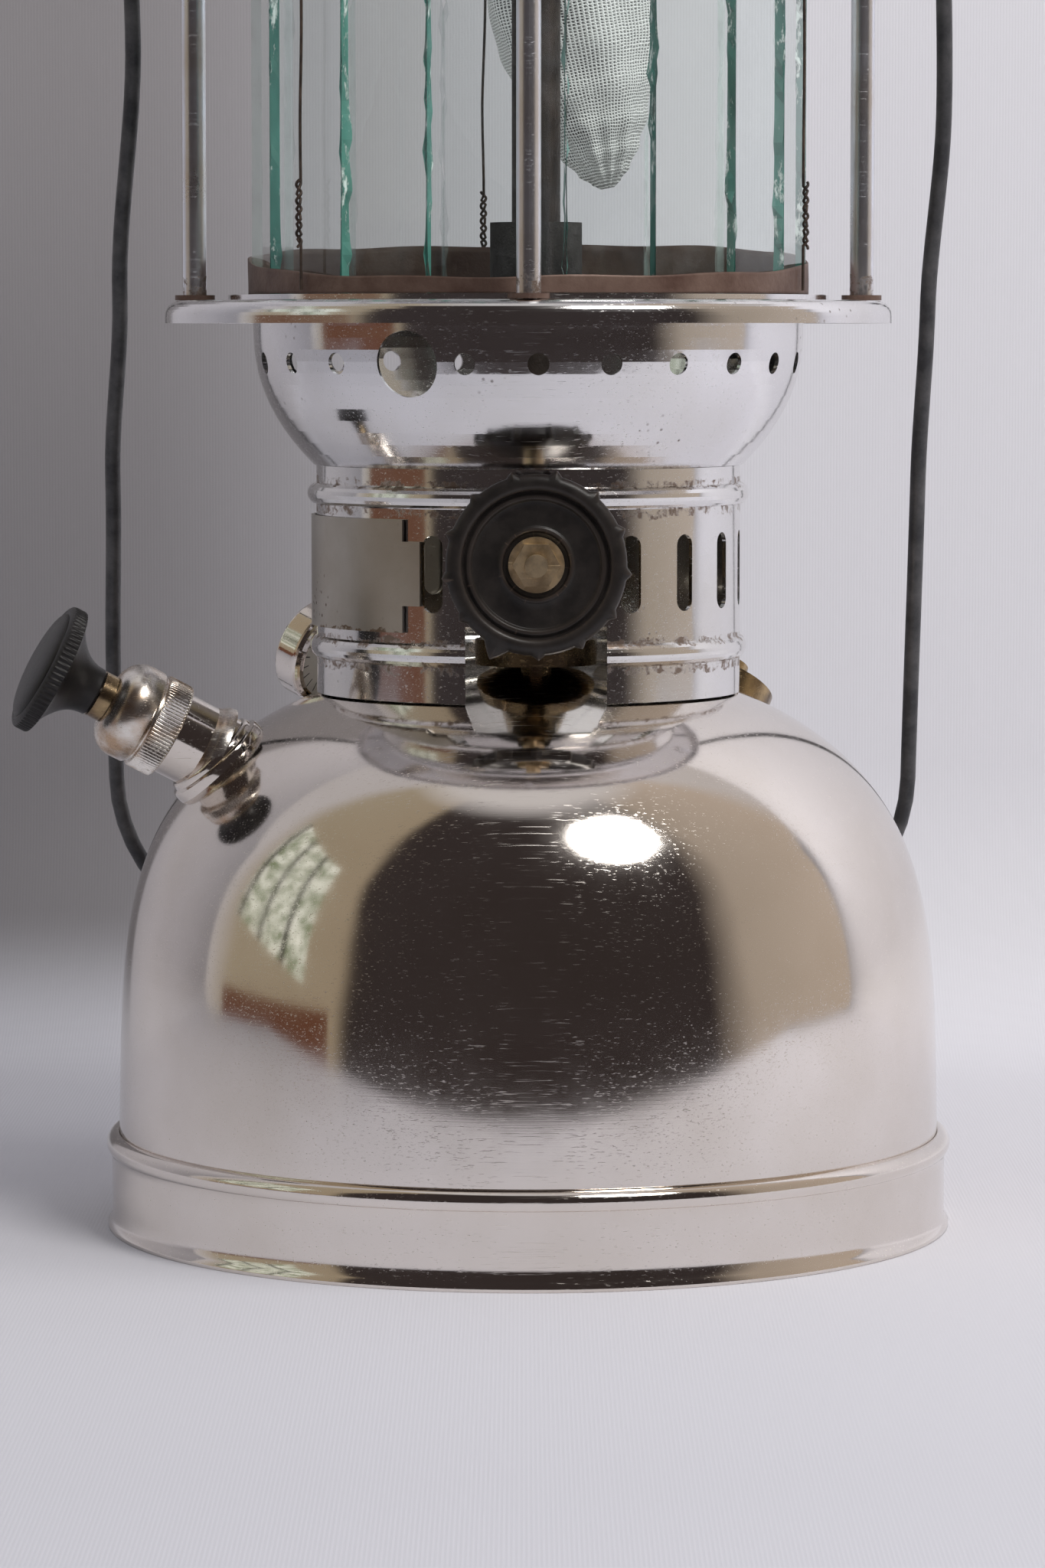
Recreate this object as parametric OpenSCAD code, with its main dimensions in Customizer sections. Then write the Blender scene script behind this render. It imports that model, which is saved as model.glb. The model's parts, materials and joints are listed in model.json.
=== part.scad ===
// Kerosene pressure lantern, with its wire bail hanging down behind.
// Origin: middle of the foot ring, on the floor. +Z is up, -Y is the side of the control wheel,
// and the air pump stands out to -X.

/* [Tank] */
// Radius of the tank where its dome starts
tank_r = 82.6; // [78:0.1:88]
// Height of the start of the dome
dome_start_z = 21.5; // [20:0.5:26]
// Height of the dome above its start
dome_h = 93; // [86:1:100]
// Squareness of the dome's section
dome_power = 3.9; // [3.4:0.1:4.4]
// Draw-in of the dome's side for each millimetre of height
side_draw = 0.02; // [0:0.005:0.03]
// Thickness of the tank's sheet
tank_wall = 0.8; // [0.6:0.1:1.2]
// Height of the tank's lower edge
tank_edge_z = 12; // [10:0.5:14]
// Rise of the tank's bottom towards its middle
bottom_rise = 3; // [0:0.5:5]
// Height of the turned-up flange of the bottom
bottom_flange_h = 6; // [4:0.5:8]

/* [Foot ring] */
// Flare of the foot ring's edge beyond its plain band
foot_flare = 0.9; // [0.4:0.1:2]
// Distance of the foot ring's plain band outside the tank
foot_out = 1.5; // [1.3:0.1:2.4]
// Radius of the round bead's section
foot_bead_r = 2.3; // [1.8:0.1:2.6]
// Height of the middle of the bead
foot_bead_z = 16.9; // [16:0.1:18]
// Thickness of the foot ring's sheet
foot_wall = 0.9; // [0.7:0.1:1.1]

/* [Air pump] */
// Distance of the pump's seat from the tank's axis
pump_seat_r = 63.5; // [60:0.5:68]
// Direction of the pump, seen from above
pump_azimuth = 193; // [185:1:205]
// Climb of the pump's axis
pump_climb = 28; // [24:1:32]
// Outer radius of the pump barrel
barrel_r = 8.5; // [7.5:0.1:9.5]
// Wall of the pump barrel
barrel_wall = 0.8; // [0.6:0.1:1]
// Length of the barrel inside the tank
barrel_in = 58; // [50:1:62]
// Bare length of the barrel outside the tank
barrel_out = 8.6; // [7:0.1:12]
// Radius of the soldered flange on the dome
pump_flange_r = 10.6; // [10:0.1:12.5]
// Height of the soldered flange above the dome
pump_flange_h = 2.6; // [2:0.1:4]
// Radius of the pump cap
cap_r = 9.85; // [9.5:0.05:11]
// Length of the pump cap
cap_h = 14; // [12:0.5:18]
// Radius of the rounding at the cap's outer end
cap_round = 5; // [3:0.5:6]
// Thickness of the cap's end wall
cap_end = 3; // [2:0.5:4]
// Outer radius of the bush in the cap
bush_r = 4.8; // [4.2:0.1:5.6]
// Length of the bush that stands out of the cap
bush_out = 2.8; // [2:0.1:4]
// Radius of the pump rod
rod_r = 2.5; // [2:0.1:3]
// Stroke of the pump
pump_stroke = 42; // [36:1:44]
// Radius of the pump knob
knob_r = 13.25; // [11:0.25:15]
// Thickness of the knob's rim
knob_rim = 2.6; // [2:0.1:4]
// Height of the knob's domed face
knob_dome = 2.9; // [2:0.1:4]
// Radius of the knob's neck
knob_neck_r = 4.9; // [4.4:0.1:6]
// Length of the knob's flared neck
knob_neck = 8.5; // [7:0.5:12]
// Radius at the wide end of the knob's neck
knob_flare_r = 11.4; // [9:0.1:12]
// Depth of the leather cup
leather_h = 6; // [5:0.5:8]

/* [Gauge and filler] */
// Distance of the gauge from the tank's axis
gauge_at_r = 56; // [52:1:60]
// Direction of the gauge, seen from above
gauge_azimuth = 140; // [130:1:150]
// Radius of the gauge case
gauge_r = 10.5; // [9.5:0.5:12]
// Depth of the gauge case
gauge_depth = 7; // [6:0.5:9]
// Height of the gauge's middle above the dome
gauge_lift = 13; // [12.5:0.5:16]
// Upward tilt of the dial
gauge_tilt = 20; // [0:5:40]
// Distance of the filler from the tank's axis
filler_at_r = 55; // [52:1:58]
// Direction of the filler, seen from above
filler_azimuth = 46; // [35:1:60]
// Radius of the filler neck's mouth
filler_bore_r = 7; // [6:0.5:8]
// Wall of the filler neck
filler_wall = 1.5; // [1:0.1:2]
// Radius of the filler cap
filler_cap_r = 11; // [10.5:0.5:13]
// Height of the filler cap
filler_cap_h = 6; // [5:0.5:8]
// Radius of the air screw's stem
air_screw_r = 2; // [1.5:0.1:2.5]
// Radius of the air screw's head
air_head_r = 4; // [3.5:0.1:5]
// Height of the air screw's head
air_head_h = 4; // [3:0.5:6]

/* [Collar] */
// Outer radius of the collar
collar_r = 42.5; // [40:0.5:45]
// Height of the collar
collar_h = 45.4; // [43:0.2:48]
// Thickness of the collar's sheet
collar_wall = 0.8; // [0.6:0.1:1]
// Height of the lower bead's start above the collar's edge
low_bead_at = 7; // [6:0.2:9]
// Height of the lower bead
low_bead_h = 4.5; // [3.5:0.1:5]
// Bulge of the lower bead
low_bead_out = 1.3; // [0.9:0.1:1.6]
// Height of the top bead
top_bead_h = 4.4; // [3.5:0.1:5]
// Bulge of the top bead
top_bead_out = 1.8; // [1.2:0.1:2]
// Plain band above the top bead
top_band_h = 3.4; // [2.5:0.1:4]
// Number of places for slots round the collar
slot_count = 20; // [18:1:22]
// Width of a slot
slot_w = 4.4; // [3.5:0.1:5]
// Length of a slot
slot_h = 15; // [12:0.5:17]
// Height of the slots' middle above the collar's edge
slot_at = 25; // [23:0.5:26]
// Direction of the first slot right of the front
slot_first = 28; // [24:1:32]
// Width of the front cut-out
cutout_w = 27.5; // [24:0.5:30]
// Height of the front cut-out
cutout_h = 15; // [12:0.5:18]
// Middle of the front cut-out, right of the axis
cutout_x = 1.5; // [0:0.5:3]
// Width of the narrow slot for the spindle
spindle_slot_w = 9; // [8:0.5:12]

/* [Cover band] */
// Height of the cover band
band_h = 22; // [18:0.5:24]
// Angle that the cover band wraps
band_wrap = 192; // [185:1:200]
// Direction of the band's front edge, left of the front
band_edge = 33; // [30:1:38]
// Thickness of the cover band's sheet
band_wall = 0.7; // [0.5:0.1:1]
// Height of the band's front tab
tab_h = 12.5; // [8:0.5:15]
// Angle that the band's front tab adds
tab_wrap = 4; // [2:0.5:6]

/* [Gallery] */
// Distance of the bowl's foot outside the collar
bowl_foot_out = 0.5; // [0.2:0.1:1]
// Distance of the bowl's top inside the circle of the rods
bowl_in = 11.7; // [11:0.1:12.5]
// Height of the bowl
bowl_h = 27.6; // [25:0.2:30]
// Squareness of the bowl's curve
bowl_power = 2.3; // [1.8:0.1:2.8]
// Radius of the bend between bowl and flange
bowl_fillet = 4.2; // [3:0.2:5]
// Thickness of the gallery's sheet
gallery_wall = 0.8; // [0.6:0.1:1]
// Distance of the gallery's edge outside the circle of the rods
flange_out = 5.9; // [5.6:0.1:8]
// Depth of the flange's turned-down lip
lip_h = 4.5; // [3.5:0.1:6]
// Radius of the small air holes
air_hole_r = 2.1; // [1.5:0.1:2.6]
// Number of places for air holes
air_hole_count = 24; // [20:1:26]
// Distance of the air holes below the bowl's top
air_hole_drop = 7.3; // [6:0.1:9]
// Radius of the lighting hole
light_hole_r = 6.4; // [5:0.1:7]
// Direction of the lighting hole, left of the front
light_hole_turn = 25.5; // [20:0.5:30]

/* [Cage] */
// Distance of the circle of the rods outside the globe
rod_out = 11.3; // [10.8:0.1:12.5]
// Radius of a cage rod
cage_rod_r = 2.35; // [2:0.05:3]
// Radius of a foot washer
washer_r = 4; // [3.5:0.1:4.6]
// Thickness of a foot washer
washer_t = 1; // [0.6:0.1:1.4]
// Width of the rods' nuts across their flats
rod_nut_flats = 6.9; // [6:0.1:7]
// Thickness of the rods' nuts
rod_nut_h = 2; // [1.5:0.1:2.4]
// Height from the flange's top to the top ring
cage_h = 148.5; // [140:0.5:156]
// Distance of the top ring's edge outside the circle of the rods
ring_out = 7.3; // [6:0.1:9]
// Distance of the top ring's opening inside the globe
ring_in = 7.4; // [6:0.1:8]
// Thickness of the top ring's sheet
ring_wall = 1.2; // [1:0.1:1.6]

/* [Globe] */
// Radius to the corners of the glass strips
globe_r = 55.4; // [54:0.1:57]
// Thickness of a glass strip
glass_t = 2; // [1.5:0.1:2.5]
// Gap between neighbouring strips
strip_gap = 0.2; // [0.1:0.05:0.4]
// Thickness of the sheet bands at the globe's ends
globe_band_wall = 0.6; // [0.4:0.1:0.8]
// Height of the upper globe band
upper_band_h = 11; // [8:0.5:14]
// Mean height of the lower globe band
lower_band_h = 7; // [5:0.5:10]
// Slant of the lower band's top edge
band_slant = 4; // [0:0.5:5]
// Radius of a tie wire
tie_r = 0.5; // [0.4:0.05:0.8]
// Radius of a tie wire's twisted knot
tie_knot_r = 1.1; // [0.9:0.1:1.4]
// Height of a tie wire's twisted knot
tie_knot_h = 11; // [6:0.5:14]

/* [Burner] */
// Place of the vaporizer to the right of the axis
burner_x = 1.5; // [0:0.5:3]
// Distance of the vaporizer in front of the mantle's axis
burner_y = 23; // [22.5:0.5:24]
// Outer radius of the valve body
valve_r = 8; // [7.5:0.5:9]
// Height of the valve body above its flange
valve_h = 34; // [32:0.5:36]
// Radius of the valve body's cavity
cavity_r = 4; // [3.8:0.1:4.4]
// Outer radius of the vaporizer tube
vaporizer_r = 4.75; // [4.4:0.05:5.4]
// Wall of the vaporizer tube
vaporizer_wall = 1.4; // [1:0.1:1.8]
// Height of the jet above the flange's top
jet_at = 111; // [108:1:114]
// Outer radius of the preheating cup
cup_r = 9; // [8:0.1:10]
// Height of the preheating cup
cup_h = 13; // [10:0.5:16]
// Radius of the pricker rod
pricker_r = 1.2; // [1:0.1:1.3]
// Width of the pricker's yoke
yoke_w = 5.6; // [5:0.2:6]
// Thickness of the pricker's yoke
yoke_t = 2.4; // [2:0.2:3]
// Height of the pricker's yoke
yoke_h = 6.8; // [6:0.2:7]
// Outer radius of the riser tube
riser_r = 3; // [2.5:0.1:3.5]
// Bore radius of the riser tube
riser_bore_r = 2; // [1.5:0.1:2.2]
// Radius of the riser's strainer
strainer_r = 5.5; // [4.5:0.5:7]
// Height of the riser's strainer
strainer_h = 8; // [6:1:12]
// Radius of the valve body's base
valve_base_r = 12; // [10:0.5:13]
// Height of the valve body's base
valve_base_h = 5; // [4:0.5:6]
// Radius of the hexagonal union under the vaporizer tube
union_r = 7; // [6:0.5:8]
// Height of the hexagonal union
union_h = 8; // [6:0.5:10]
// Offset of the eccentric pin
eccentric = 1.1; // [0.8:0.1:1.2]
// Radius of the eccentric pin
pin_r = 0.8; // [0.6:0.1:0.9]
// Outer radius of the mixing tube
mixing_r = 6; // [5.5:0.1:6.5]
// Wall of the mixing tube
mixing_wall = 0.8; // [0.6:0.1:1]
// Height of the straight legs of the mixing tube
mixing_leg = 38; // [34:1:40]
// Outer radius of the gas chamber
chamber_r = 12; // [11:0.5:13]
// Height of the gas chamber
chamber_h = 9; // [7:0.5:10]
// Outer radius of the ceramic nozzle
nozzle_r = 8.5; // [8:0.1:9]
// Length of the ceramic nozzle
nozzle_h = 12; // [10:0.5:14]
// Largest radius of the mantle
mantle_r = 17.5; // [15:0.5:19]
// Length of the mantle
mantle_h = 76; // [66:1:80]
// Lean of the mantle to the right
mantle_lean = 11; // [6:1:13]

/* [Control] */
// Height of the spindle above the collar's edge
spindle_at = 27.5; // [26:0.5:29]
// Radius of the control spindle
spindle_r = 3; // [2.5:0.1:3.2]
// Radius of the spindle's threaded end
stud_r = 2.2; // [2:0.1:2.4]
// Distance of the wheel's back in front of the tank's axis
wheel_at = 49.5; // [48:0.5:55]
// Radius of the control wheel
wheel_r = 17.4; // [15:0.1:19]
// Thickness of the wheel's rim
wheel_rim_t = 5; // [4:0.5:6]
// Thickness of the wheel's web
wheel_web_t = 3; // [2:0.5:4]
// Number of places for teeth round the wheel
tooth_count = 13; // [10:1:16]
// Height of a small tooth
tooth_h = 1; // [0.6:0.1:1.6]
// Height of the pointer tooth
pointer_h = 2.8; // [2:0.1:4]
// Direction of the pointer tooth, from the wheel's right
pointer_turn = 243.6; // [230:1:260]
// Width across the flats of the wheel nut
nut_flats = 8; // [7:0.5:9]
// Thickness of the wheel nut
nut_t = 3.2; // [2.4:0.2:4]

/* [Hood] */
// Distance of the hood's rim outside the top ring
hood_out = 0; // [-2:0.5:1]
// Height of the hood's rim above the top ring
hood_gap = 4; // [3:0.5:6]
// Depth of the hood's rim
hood_rim_h = 8; // [6:0.5:12]
// Rise of the hood's shoulder
shoulder_h = 14; // [10:0.5:18]
// Distance of the hood's chimney wall outside the inner casing
chimney_out = 4.5; // [4:0.1:6]
// Height of the hood's chimney wall
chimney_h = 24; // [20:0.5:28]
// Rise of the hood's top
crown_h = 16; // [12:0.5:20]
// Thickness of the hood's sheet
hood_wall = 0.8; // [0.6:0.1:1]
// Number of slots in the chimney wall
hood_slots = 18; // [16:1:24]
// Distance of the inner casing inside the top ring's opening
casing_in = 2; // [1:0.1:3]
// Thickness of the inner casing's sheet
casing_wall = 0.8; // [0.6:0.1:1]
// Depth of the inner casing below the top ring
casing_drop = 36; // [34:1:38]
// Width of the inner casing's flange
casing_flange_w = 7; // [5:0.5:9]
// Thickness of the inner casing's flange
casing_flange_t = 1; // [0.8:0.1:1.4]
// Radius of the holes in the inner casing
casing_hole_r = 4; // [3:0.5:5]
// Height of those holes above the top ring
casing_hole_at = 20; // [14:1:24]
// Width of the stud's bridge
bridge_w = 14; // [10:1:18]
// Thickness of the stud's bridge
bridge_t = 1.2; // [1:0.1:1.6]
// Radius of the hood stud
hood_stud_r = 3; // [2.5:0.1:3.5]
// Radius of the hood nut
hood_nut_r = 9; // [8:0.5:11]
// Height of the hood nut
hood_nut_h = 8; // [7:0.5:10]

/* [Bail] */
// Radius of the bail's wire
wire_r = 1.65; // [1.4:0.05:2]
// Reach of the bail from its pivots
bail_reach = 298; // [294:1:304]
// Lean of the hanging bail
bail_lean = 17; // [17:0.5:20]
// Distance of the left leg outside the top ring
left_leg_out = 11.5; // [8:0.5:16]
// Distance of the right leg outside the top ring
right_leg_out = 9.5; // [8:0.5:16]
// Radius of the bail's corners
corner_r = 40; // [30:1:50]
// Radius of a pivot stud
pivot_r = 2; // [1.6:0.1:2.4]
// Height of the pivots below the top ring's face
pivot_drop = 5; // [4.5:0.5:7]

/* [Clearances] */
// Gap between neighbouring pieces that are seated on each other
seat_gap = 0.1; // [0.05:0.05:0.2]
// Radial clearance of a turning or sliding fit
run_gap = 0.06; // [0.03:0.01:0.1]
// Gap between pieces that move past each other
free_gap = 0.3; // [0.2:0.05:0.5]

/* [Hidden] */
$fn = 64;

// Radii and places that follow from the sizes above
foot_band_r = tank_r + foot_out;
foot_r = foot_band_r + foot_flare;
rod_circle_r = globe_r + rod_out;
flange_r = rod_circle_r + flange_out;
bowl_r = rod_circle_r - bowl_in;
bowl_foot_r = collar_r + bowl_foot_out;
top_ring_r = rod_circle_r + ring_out;
top_open_r = globe_r - ring_in;
casing_r = top_open_r - casing_in;
chimney_r = casing_r + chimney_out;
hood_r = top_ring_r + hood_out;
left_leg_x = top_ring_r + left_leg_out;
right_leg_x = top_ring_r + right_leg_out;

// Heights that follow from the sizes above
bottom_z = tank_edge_z + 0.5;
collar_z = dome_z(collar_r - collar_wall) + seat_gap;
collar_top_z = collar_z + collar_h;
bowl_z = collar_top_z + seat_gap;
flange_z = bowl_z + bowl_h + bowl_fillet + gallery_wall;
seat_z = flange_z + seat_gap;
seat_t = 1;
ring_z = flange_z + cage_h;
ring_top_z = ring_z + ring_wall;
glass_z = seat_z + seat_t + seat_gap;
glass_h = ring_z - free_gap - glass_z;
pivot_z = ring_top_z - pivot_drop;
spindle_z = collar_z + spindle_at;
casing_z = ring_z - casing_drop;
jet_z = flange_z + jet_at;
valve_z = dome_z(burner_y - valve_base_r - burner_x) + seat_gap;
valve_top_z = valve_z + valve_base_h + valve_h;
hood_z = ring_top_z + hood_gap;
crown_z = hood_z + hood_rim_h + shoulder_h + chimney_h;
bridge_top_z = crown_z + crown_rise(casing_r) - hood_wall - free_gap;
casing_top_z = bridge_top_z - bridge_t;
chamber_top_z = casing_z - seat_gap;
nozzle_top_z = chamber_top_z - chamber_h;

// Height of the dome's surface at distance r from the axis
function dome_first(r) = dome_start_z + dome_h * pow(1 - pow(r / tank_r, 2), 1 / dome_power);
function dome_z(r) = let (k = tank_r - side_draw * (dome_first(r) - dome_start_z))
    dome_start_z + dome_h * pow(1 - pow(min(1, r / k), 2), 1 / dome_power);
// Slope of the dome's surface from the horizontal
function dome_slope(r) = atan((dome_z(r - 0.5) - dome_z(r + 0.5)));
// A point of the dome's section for a turn of 0 at its foot to 90 at its crown
function dome_point(turn) = let (up = dome_h * pow(sin(turn), 2 / dome_power))
    [cos(turn) * (tank_r - side_draw * up), dome_start_z + up];
// Rise of the hood's top at distance r from the axis
function crown_rise(r) = crown_h * sqrt(max(0, 1 - pow(r / chimney_r, 2)));

// Points of an arc about (x, y)
function arc(x, y, r, from, to, steps = 8) =
    [for (i = [0:steps]) let (a = from + (to - from) * i / steps) [x + r * cos(a), y + r * sin(a)]];
// Direction of a line of points at point i
function along(p, i) = let (d = p[min(i + 1, len(p) - 1)] - p[max(i - 1, 0)]) d / norm(d);
// Outline of a sheet of thickness t that lies to the left of a line of points
function sheet(p, t) = concat(p, [for (i = [len(p) - 1:-1:0]) let (d = along(p, i))
    [max(0, p[i][0] - t * d[1]), p[i][1] + t * d[0]]]);
// Outline of a wall of thickness t inside a line of points
function wall(p, t) = concat(p, [for (i = [len(p) - 1:-1:0]) [p[i][0] - t, p[i][1]]]);
// Points of a round bead of height h that stands out from radius r
function bead(r, z, h, out) = let (b = (h * h / 4 + out * out) / (2 * out), a = asin(h / 2 / b))
    arc(r + out - b, z + h / 2, b, -a, a);

// Stands its children on the dome, square to its surface
module on_dome(r, turn) {
    translate([r * cos(turn), r * sin(turn), dome_z(r)])
        rotate([0, dome_slope(r), turn]) children();
}

// The pump's own frame: +Z along the rod, zero at the flange's outer face
pump_face_r = pump_seat_r + pump_flange_h * sin(dome_slope(pump_seat_r));
pump_face_z = dome_z(pump_seat_r) + pump_flange_h * cos(dome_slope(pump_seat_r));
module on_pump() {
    translate([pump_face_r * cos(pump_azimuth), pump_face_r * sin(pump_azimuth), pump_face_z])
        rotate([0, 90 - pump_climb, pump_azimuth]) children();
}

// The gauge's own frame: +Z out of the dial
module on_gauge() {
    translate([gauge_at_r * cos(gauge_azimuth), gauge_at_r * sin(gauge_azimuth),
        dome_z(gauge_at_r) + gauge_lift])
        rotate([0, 90 - gauge_tilt, gauge_azimuth]) children();
}

// Stands its children upright on the burner's axis
module on_burner(z) {
    translate([burner_x, -burner_y, z]) children();
}

// Points its children's +Z to the front, at the spindle's height
module on_spindle(y) {
    translate([burner_x, -y, spindle_z]) rotate([90, 0, 0]) children();
}

module tube(r, h, t) {
    difference() {
        cylinder(r = r, h = h);
        translate([0, 0, -1]) cylinder(r = r - t, h = h + 2);
    }
}

// Long upright hole with round ends through a wall of radius r, on the +X side
module slot_cut(w, h, r) {
    translate([r - 4, 0, 0]) rotate([90, 0, 90]) linear_extrude(8) {
        for (end = [-1, 1]) translate([0, end * (h - w) / 2]) circle(d = w, $fn = 32);
        square([w, h - w], center = true);
    }
}

// Round hole through a wall of radius r, on the +X side
module hole_cut(hole_r, r) {
    translate([r - 5, 0, 0]) rotate([0, 90, 0]) cylinder(r = hole_r, h = 10, $fn = 32);
}

// Foot ring: plain band under a rolled bead, straight down to the floor
module foot_ring() {
    bead_x = tank_r + free_gap;
    color("silver") rotate_extrude($fn = 128)
        polygon(sheet(concat(
            [[foot_r, 0], [foot_r, 0.8]],
            [[foot_band_r, 2.6], [foot_band_r, foot_bead_z - foot_bead_r - 0.8]],
            arc(bead_x, foot_bead_z, foot_bead_r, -50, 88, 12)), foot_wall));
}

// Tank shell: one deep-drawn dome with holes for the pump, gauge, filler and valve
module tank_shell() {
    color("silver") difference() {
        rotate_extrude($fn = 128)
            polygon(sheet(concat([[tank_r, tank_edge_z], [tank_r, dome_start_z - 2]],
                [for (i = [0:30]) dome_point(3 * i)]), tank_wall));
        on_pump() translate([0, 0, -24]) cylinder(r = barrel_r + run_gap, h = 40);
        on_dome(gauge_at_r, gauge_azimuth)
            translate([0, 0, -5]) cylinder(r = gauge_stem_r + run_gap, h = 10);
        on_dome(filler_at_r, filler_azimuth)
            translate([0, 0, -5]) cylinder(r = filler_bore_r + filler_wall + run_gap, h = 10);
        on_burner(valve_z - 10) cylinder(r = riser_r + run_gap, h = 20);
    }
}

// Tank bottom: dished disc with a flange that fits inside the shell
module tank_bottom() {
    r = tank_r - tank_wall - seat_gap;
    color("gray") rotate_extrude($fn = 128)
        polygon([[0, bottom_z + bottom_rise], [r - 6, bottom_z], [r - 1.2, bottom_z + 0.4],
            [r, bottom_z + 1.8], [r, bottom_z + bottom_flange_h],
            [r - tank_wall, bottom_z + bottom_flange_h], [r - tank_wall, bottom_z + 2.2],
            [r - 1.9, bottom_z + 1.3], [r - 6, bottom_z + tank_wall],
            [0, bottom_z + bottom_rise + tank_wall]]);
}

// Pump flange: ring soldered on the dome, square to the dome's surface, that the barrel leans through
module pump_flange() {
    edge = 0.5;
    h = pump_flange_h - seat_gap;
    lean = 90 - dome_slope(pump_seat_r) - pump_climb;
    drift = h / 2 * tan(lean);
    bore = (barrel_r + run_gap) / cos(lean) + drift;
    r = max(pump_flange_r, bore + edge + 0.2);
    color("silver") on_dome(pump_seat_r, pump_azimuth) translate([-drift, 0, seat_gap])
        rotate_extrude() polygon(concat([[bore, 0], [r, 0]],
            arc(r - edge, h - edge, edge, 0, 90, 6), [[bore, h]]));
}

// Pump barrel: runs from the cap down into the tank
module pump_barrel() {
    color("silver") on_pump() translate([0, 0, -barrel_in])
        tube(barrel_r, barrel_in + barrel_out + barrel_thread, barrel_wall);
}
barrel_thread = 6;

// Check valve in the barrel's inner end
module check_valve() {
    inner = barrel_r - barrel_wall - run_gap;
    color("goldenrod") on_pump() translate([0, 0, -barrel_in - 6]) difference() {
        union() {
            cylinder(r = 4, h = 6 - seat_gap);
            translate([0, 0, 6 + seat_gap - 0.2]) cylinder(r = inner, h = 4);
            cylinder(r = barrel_r, h = 6 - seat_gap - 0.1);
        }
        translate([0, 0, -1]) cylinder(r = 1, h = 14);
    }
}

// Pump cap: round-shouldered, bored for its bush and screwed over the barrel's end
module pump_cap() {
    color("silver") on_pump() translate([0, 0, barrel_out]) difference() {
        rotate_extrude()
            polygon(concat([[0, 0], [cap_r - 0.3, 0], [cap_r, 0.3]],
                arc(cap_r - cap_round, cap_h - cap_round, cap_round, 0, 90, 10), [[0, cap_h]]));
        translate([0, 0, -1]) cylinder(r = barrel_r + run_gap, h = 1 + barrel_thread + seat_gap);
        translate([0, 0, -1]) cylinder(r = barrel_r - barrel_wall, h = 1 + cap_h - cap_end);
        translate([0, 0, -1]) cylinder(r = bush_r - 1 + seat_gap, h = cap_h + 2);
    }
}

// Bush that guides the rod through the cap
module cap_bush() {
    color("goldenrod") on_pump() translate([0, 0, barrel_out + cap_h]) difference() {
        union() {
            translate([0, 0, seat_gap]) cylinder(r = bush_r, h = bush_out - seat_gap);
            translate([0, 0, -cap_end]) cylinder(r = bush_r - 1, h = cap_end + 1);
        }
        translate([0, 0, -cap_end - 1]) cylinder(r = rod_r + run_gap, h = cap_end + bush_out + 2);
    }
}
knob_z = barrel_out + cap_h + bush_out + free_gap;

// Coil that cushions the knob's return, under the cap
spring_wire_r = 0.5;
spring_r = rod_r + free_gap + 1.2;
spring_turns = 5;
spring_pitch = 1.4;
spring_rings = 12;
function spring_ring(k) = let (turn = 360 * k / spring_rings, z = spring_pitch * k / spring_rings)
    [for (i = [0:5]) let (r = spring_r + spring_wire_r * cos(60 * i))
        [r * cos(turn), r * sin(turn), z + spring_wire_r * sin(60 * i)]];
module cap_spring() {
    rings = spring_turns * spring_rings;
    points = [for (k = [0:rings]) each spring_ring(k)];
    sides = [for (k = [0:rings - 1], i = [0:5]) let (a = 6 * k + i, b = 6 * k + (i + 1) % 6)
        each [[a, b, b + 6], [a, b + 6, a + 6]]];
    ends = [for (i = [1:4]) each [[0, i + 1, i], [6 * rings, 6 * rings + i, 6 * rings + i + 1]]];
    color("gray") on_pump()
        translate([0, 0, barrel_out + cap_h - cap_end - spring_turns * spring_pitch
            - spring_wire_r - free_gap])
            polyhedron(points = points, faces = concat(sides, ends));
}

// Pump rod, from the knob to the leather cup
module pump_rod() {
    color("silver") on_pump() translate([0, 0, cup_at + leather_h])
        cylinder(r = rod_r, h = knob_z + knob_neck - cup_at - leather_h);
}
cup_at = -barrel_in + 5;

// Pump knob: flared neck, knurled rim and domed face
module pump_knob() {
    color("dimgray") on_pump() translate([0, 0, knob_z]) difference() {
        rotate_extrude()
            polygon(concat([[0, 0], [knob_neck_r, 0]],
                [for (i = [0:8]) let (u = i / 8)
                    [knob_neck_r + (knob_flare_r - knob_neck_r) * pow(u, 2.4), knob_neck * u]],
                [[knob_r, knob_neck], [knob_r, knob_neck + knob_rim]],
                [for (i = [1:8]) let (a = 90 * i / 8)
                    [knob_r * cos(a), knob_neck + knob_rim + knob_dome * sin(a)]]));
        translate([0, 0, -1]) cylinder(r = rod_r + seat_gap / 2, h = knob_neck + 1 + seat_gap);
    }
}

// Leather cup on the rod's inner end
module leather_cup() {
    r = barrel_r - barrel_wall - run_gap;
    color("saddlebrown") on_pump() translate([0, 0, cup_at]) rotate_extrude()
        polygon([[0, leather_h - 2], [r - 1.5, leather_h - 2], [r - 1.5, 0], [r, 0],
            [r, leather_h - 1], [r - 1, leather_h - seat_gap], [0, leather_h - seat_gap]]);
}

// Hexagonal foot that holds the gauge on the dome
gauge_stem_r = 3;
module gauge_stem() {
    color("goldenrod") difference() {
        on_dome(gauge_at_r, gauge_azimuth) {
            translate([0, 0, -4]) cylinder(r = gauge_stem_r, h = 4.5 + gauge_lift - gauge_r);
            translate([0, 0, seat_gap]) cylinder(r = 5.5, h = 1.6, $fn = 6);
        }
        on_gauge() translate([0, 0, -gauge_depth / 2 - seat_gap])
            cylinder(r = gauge_r + seat_gap, h = gauge_depth + 2 * seat_gap);
    }
}

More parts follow.
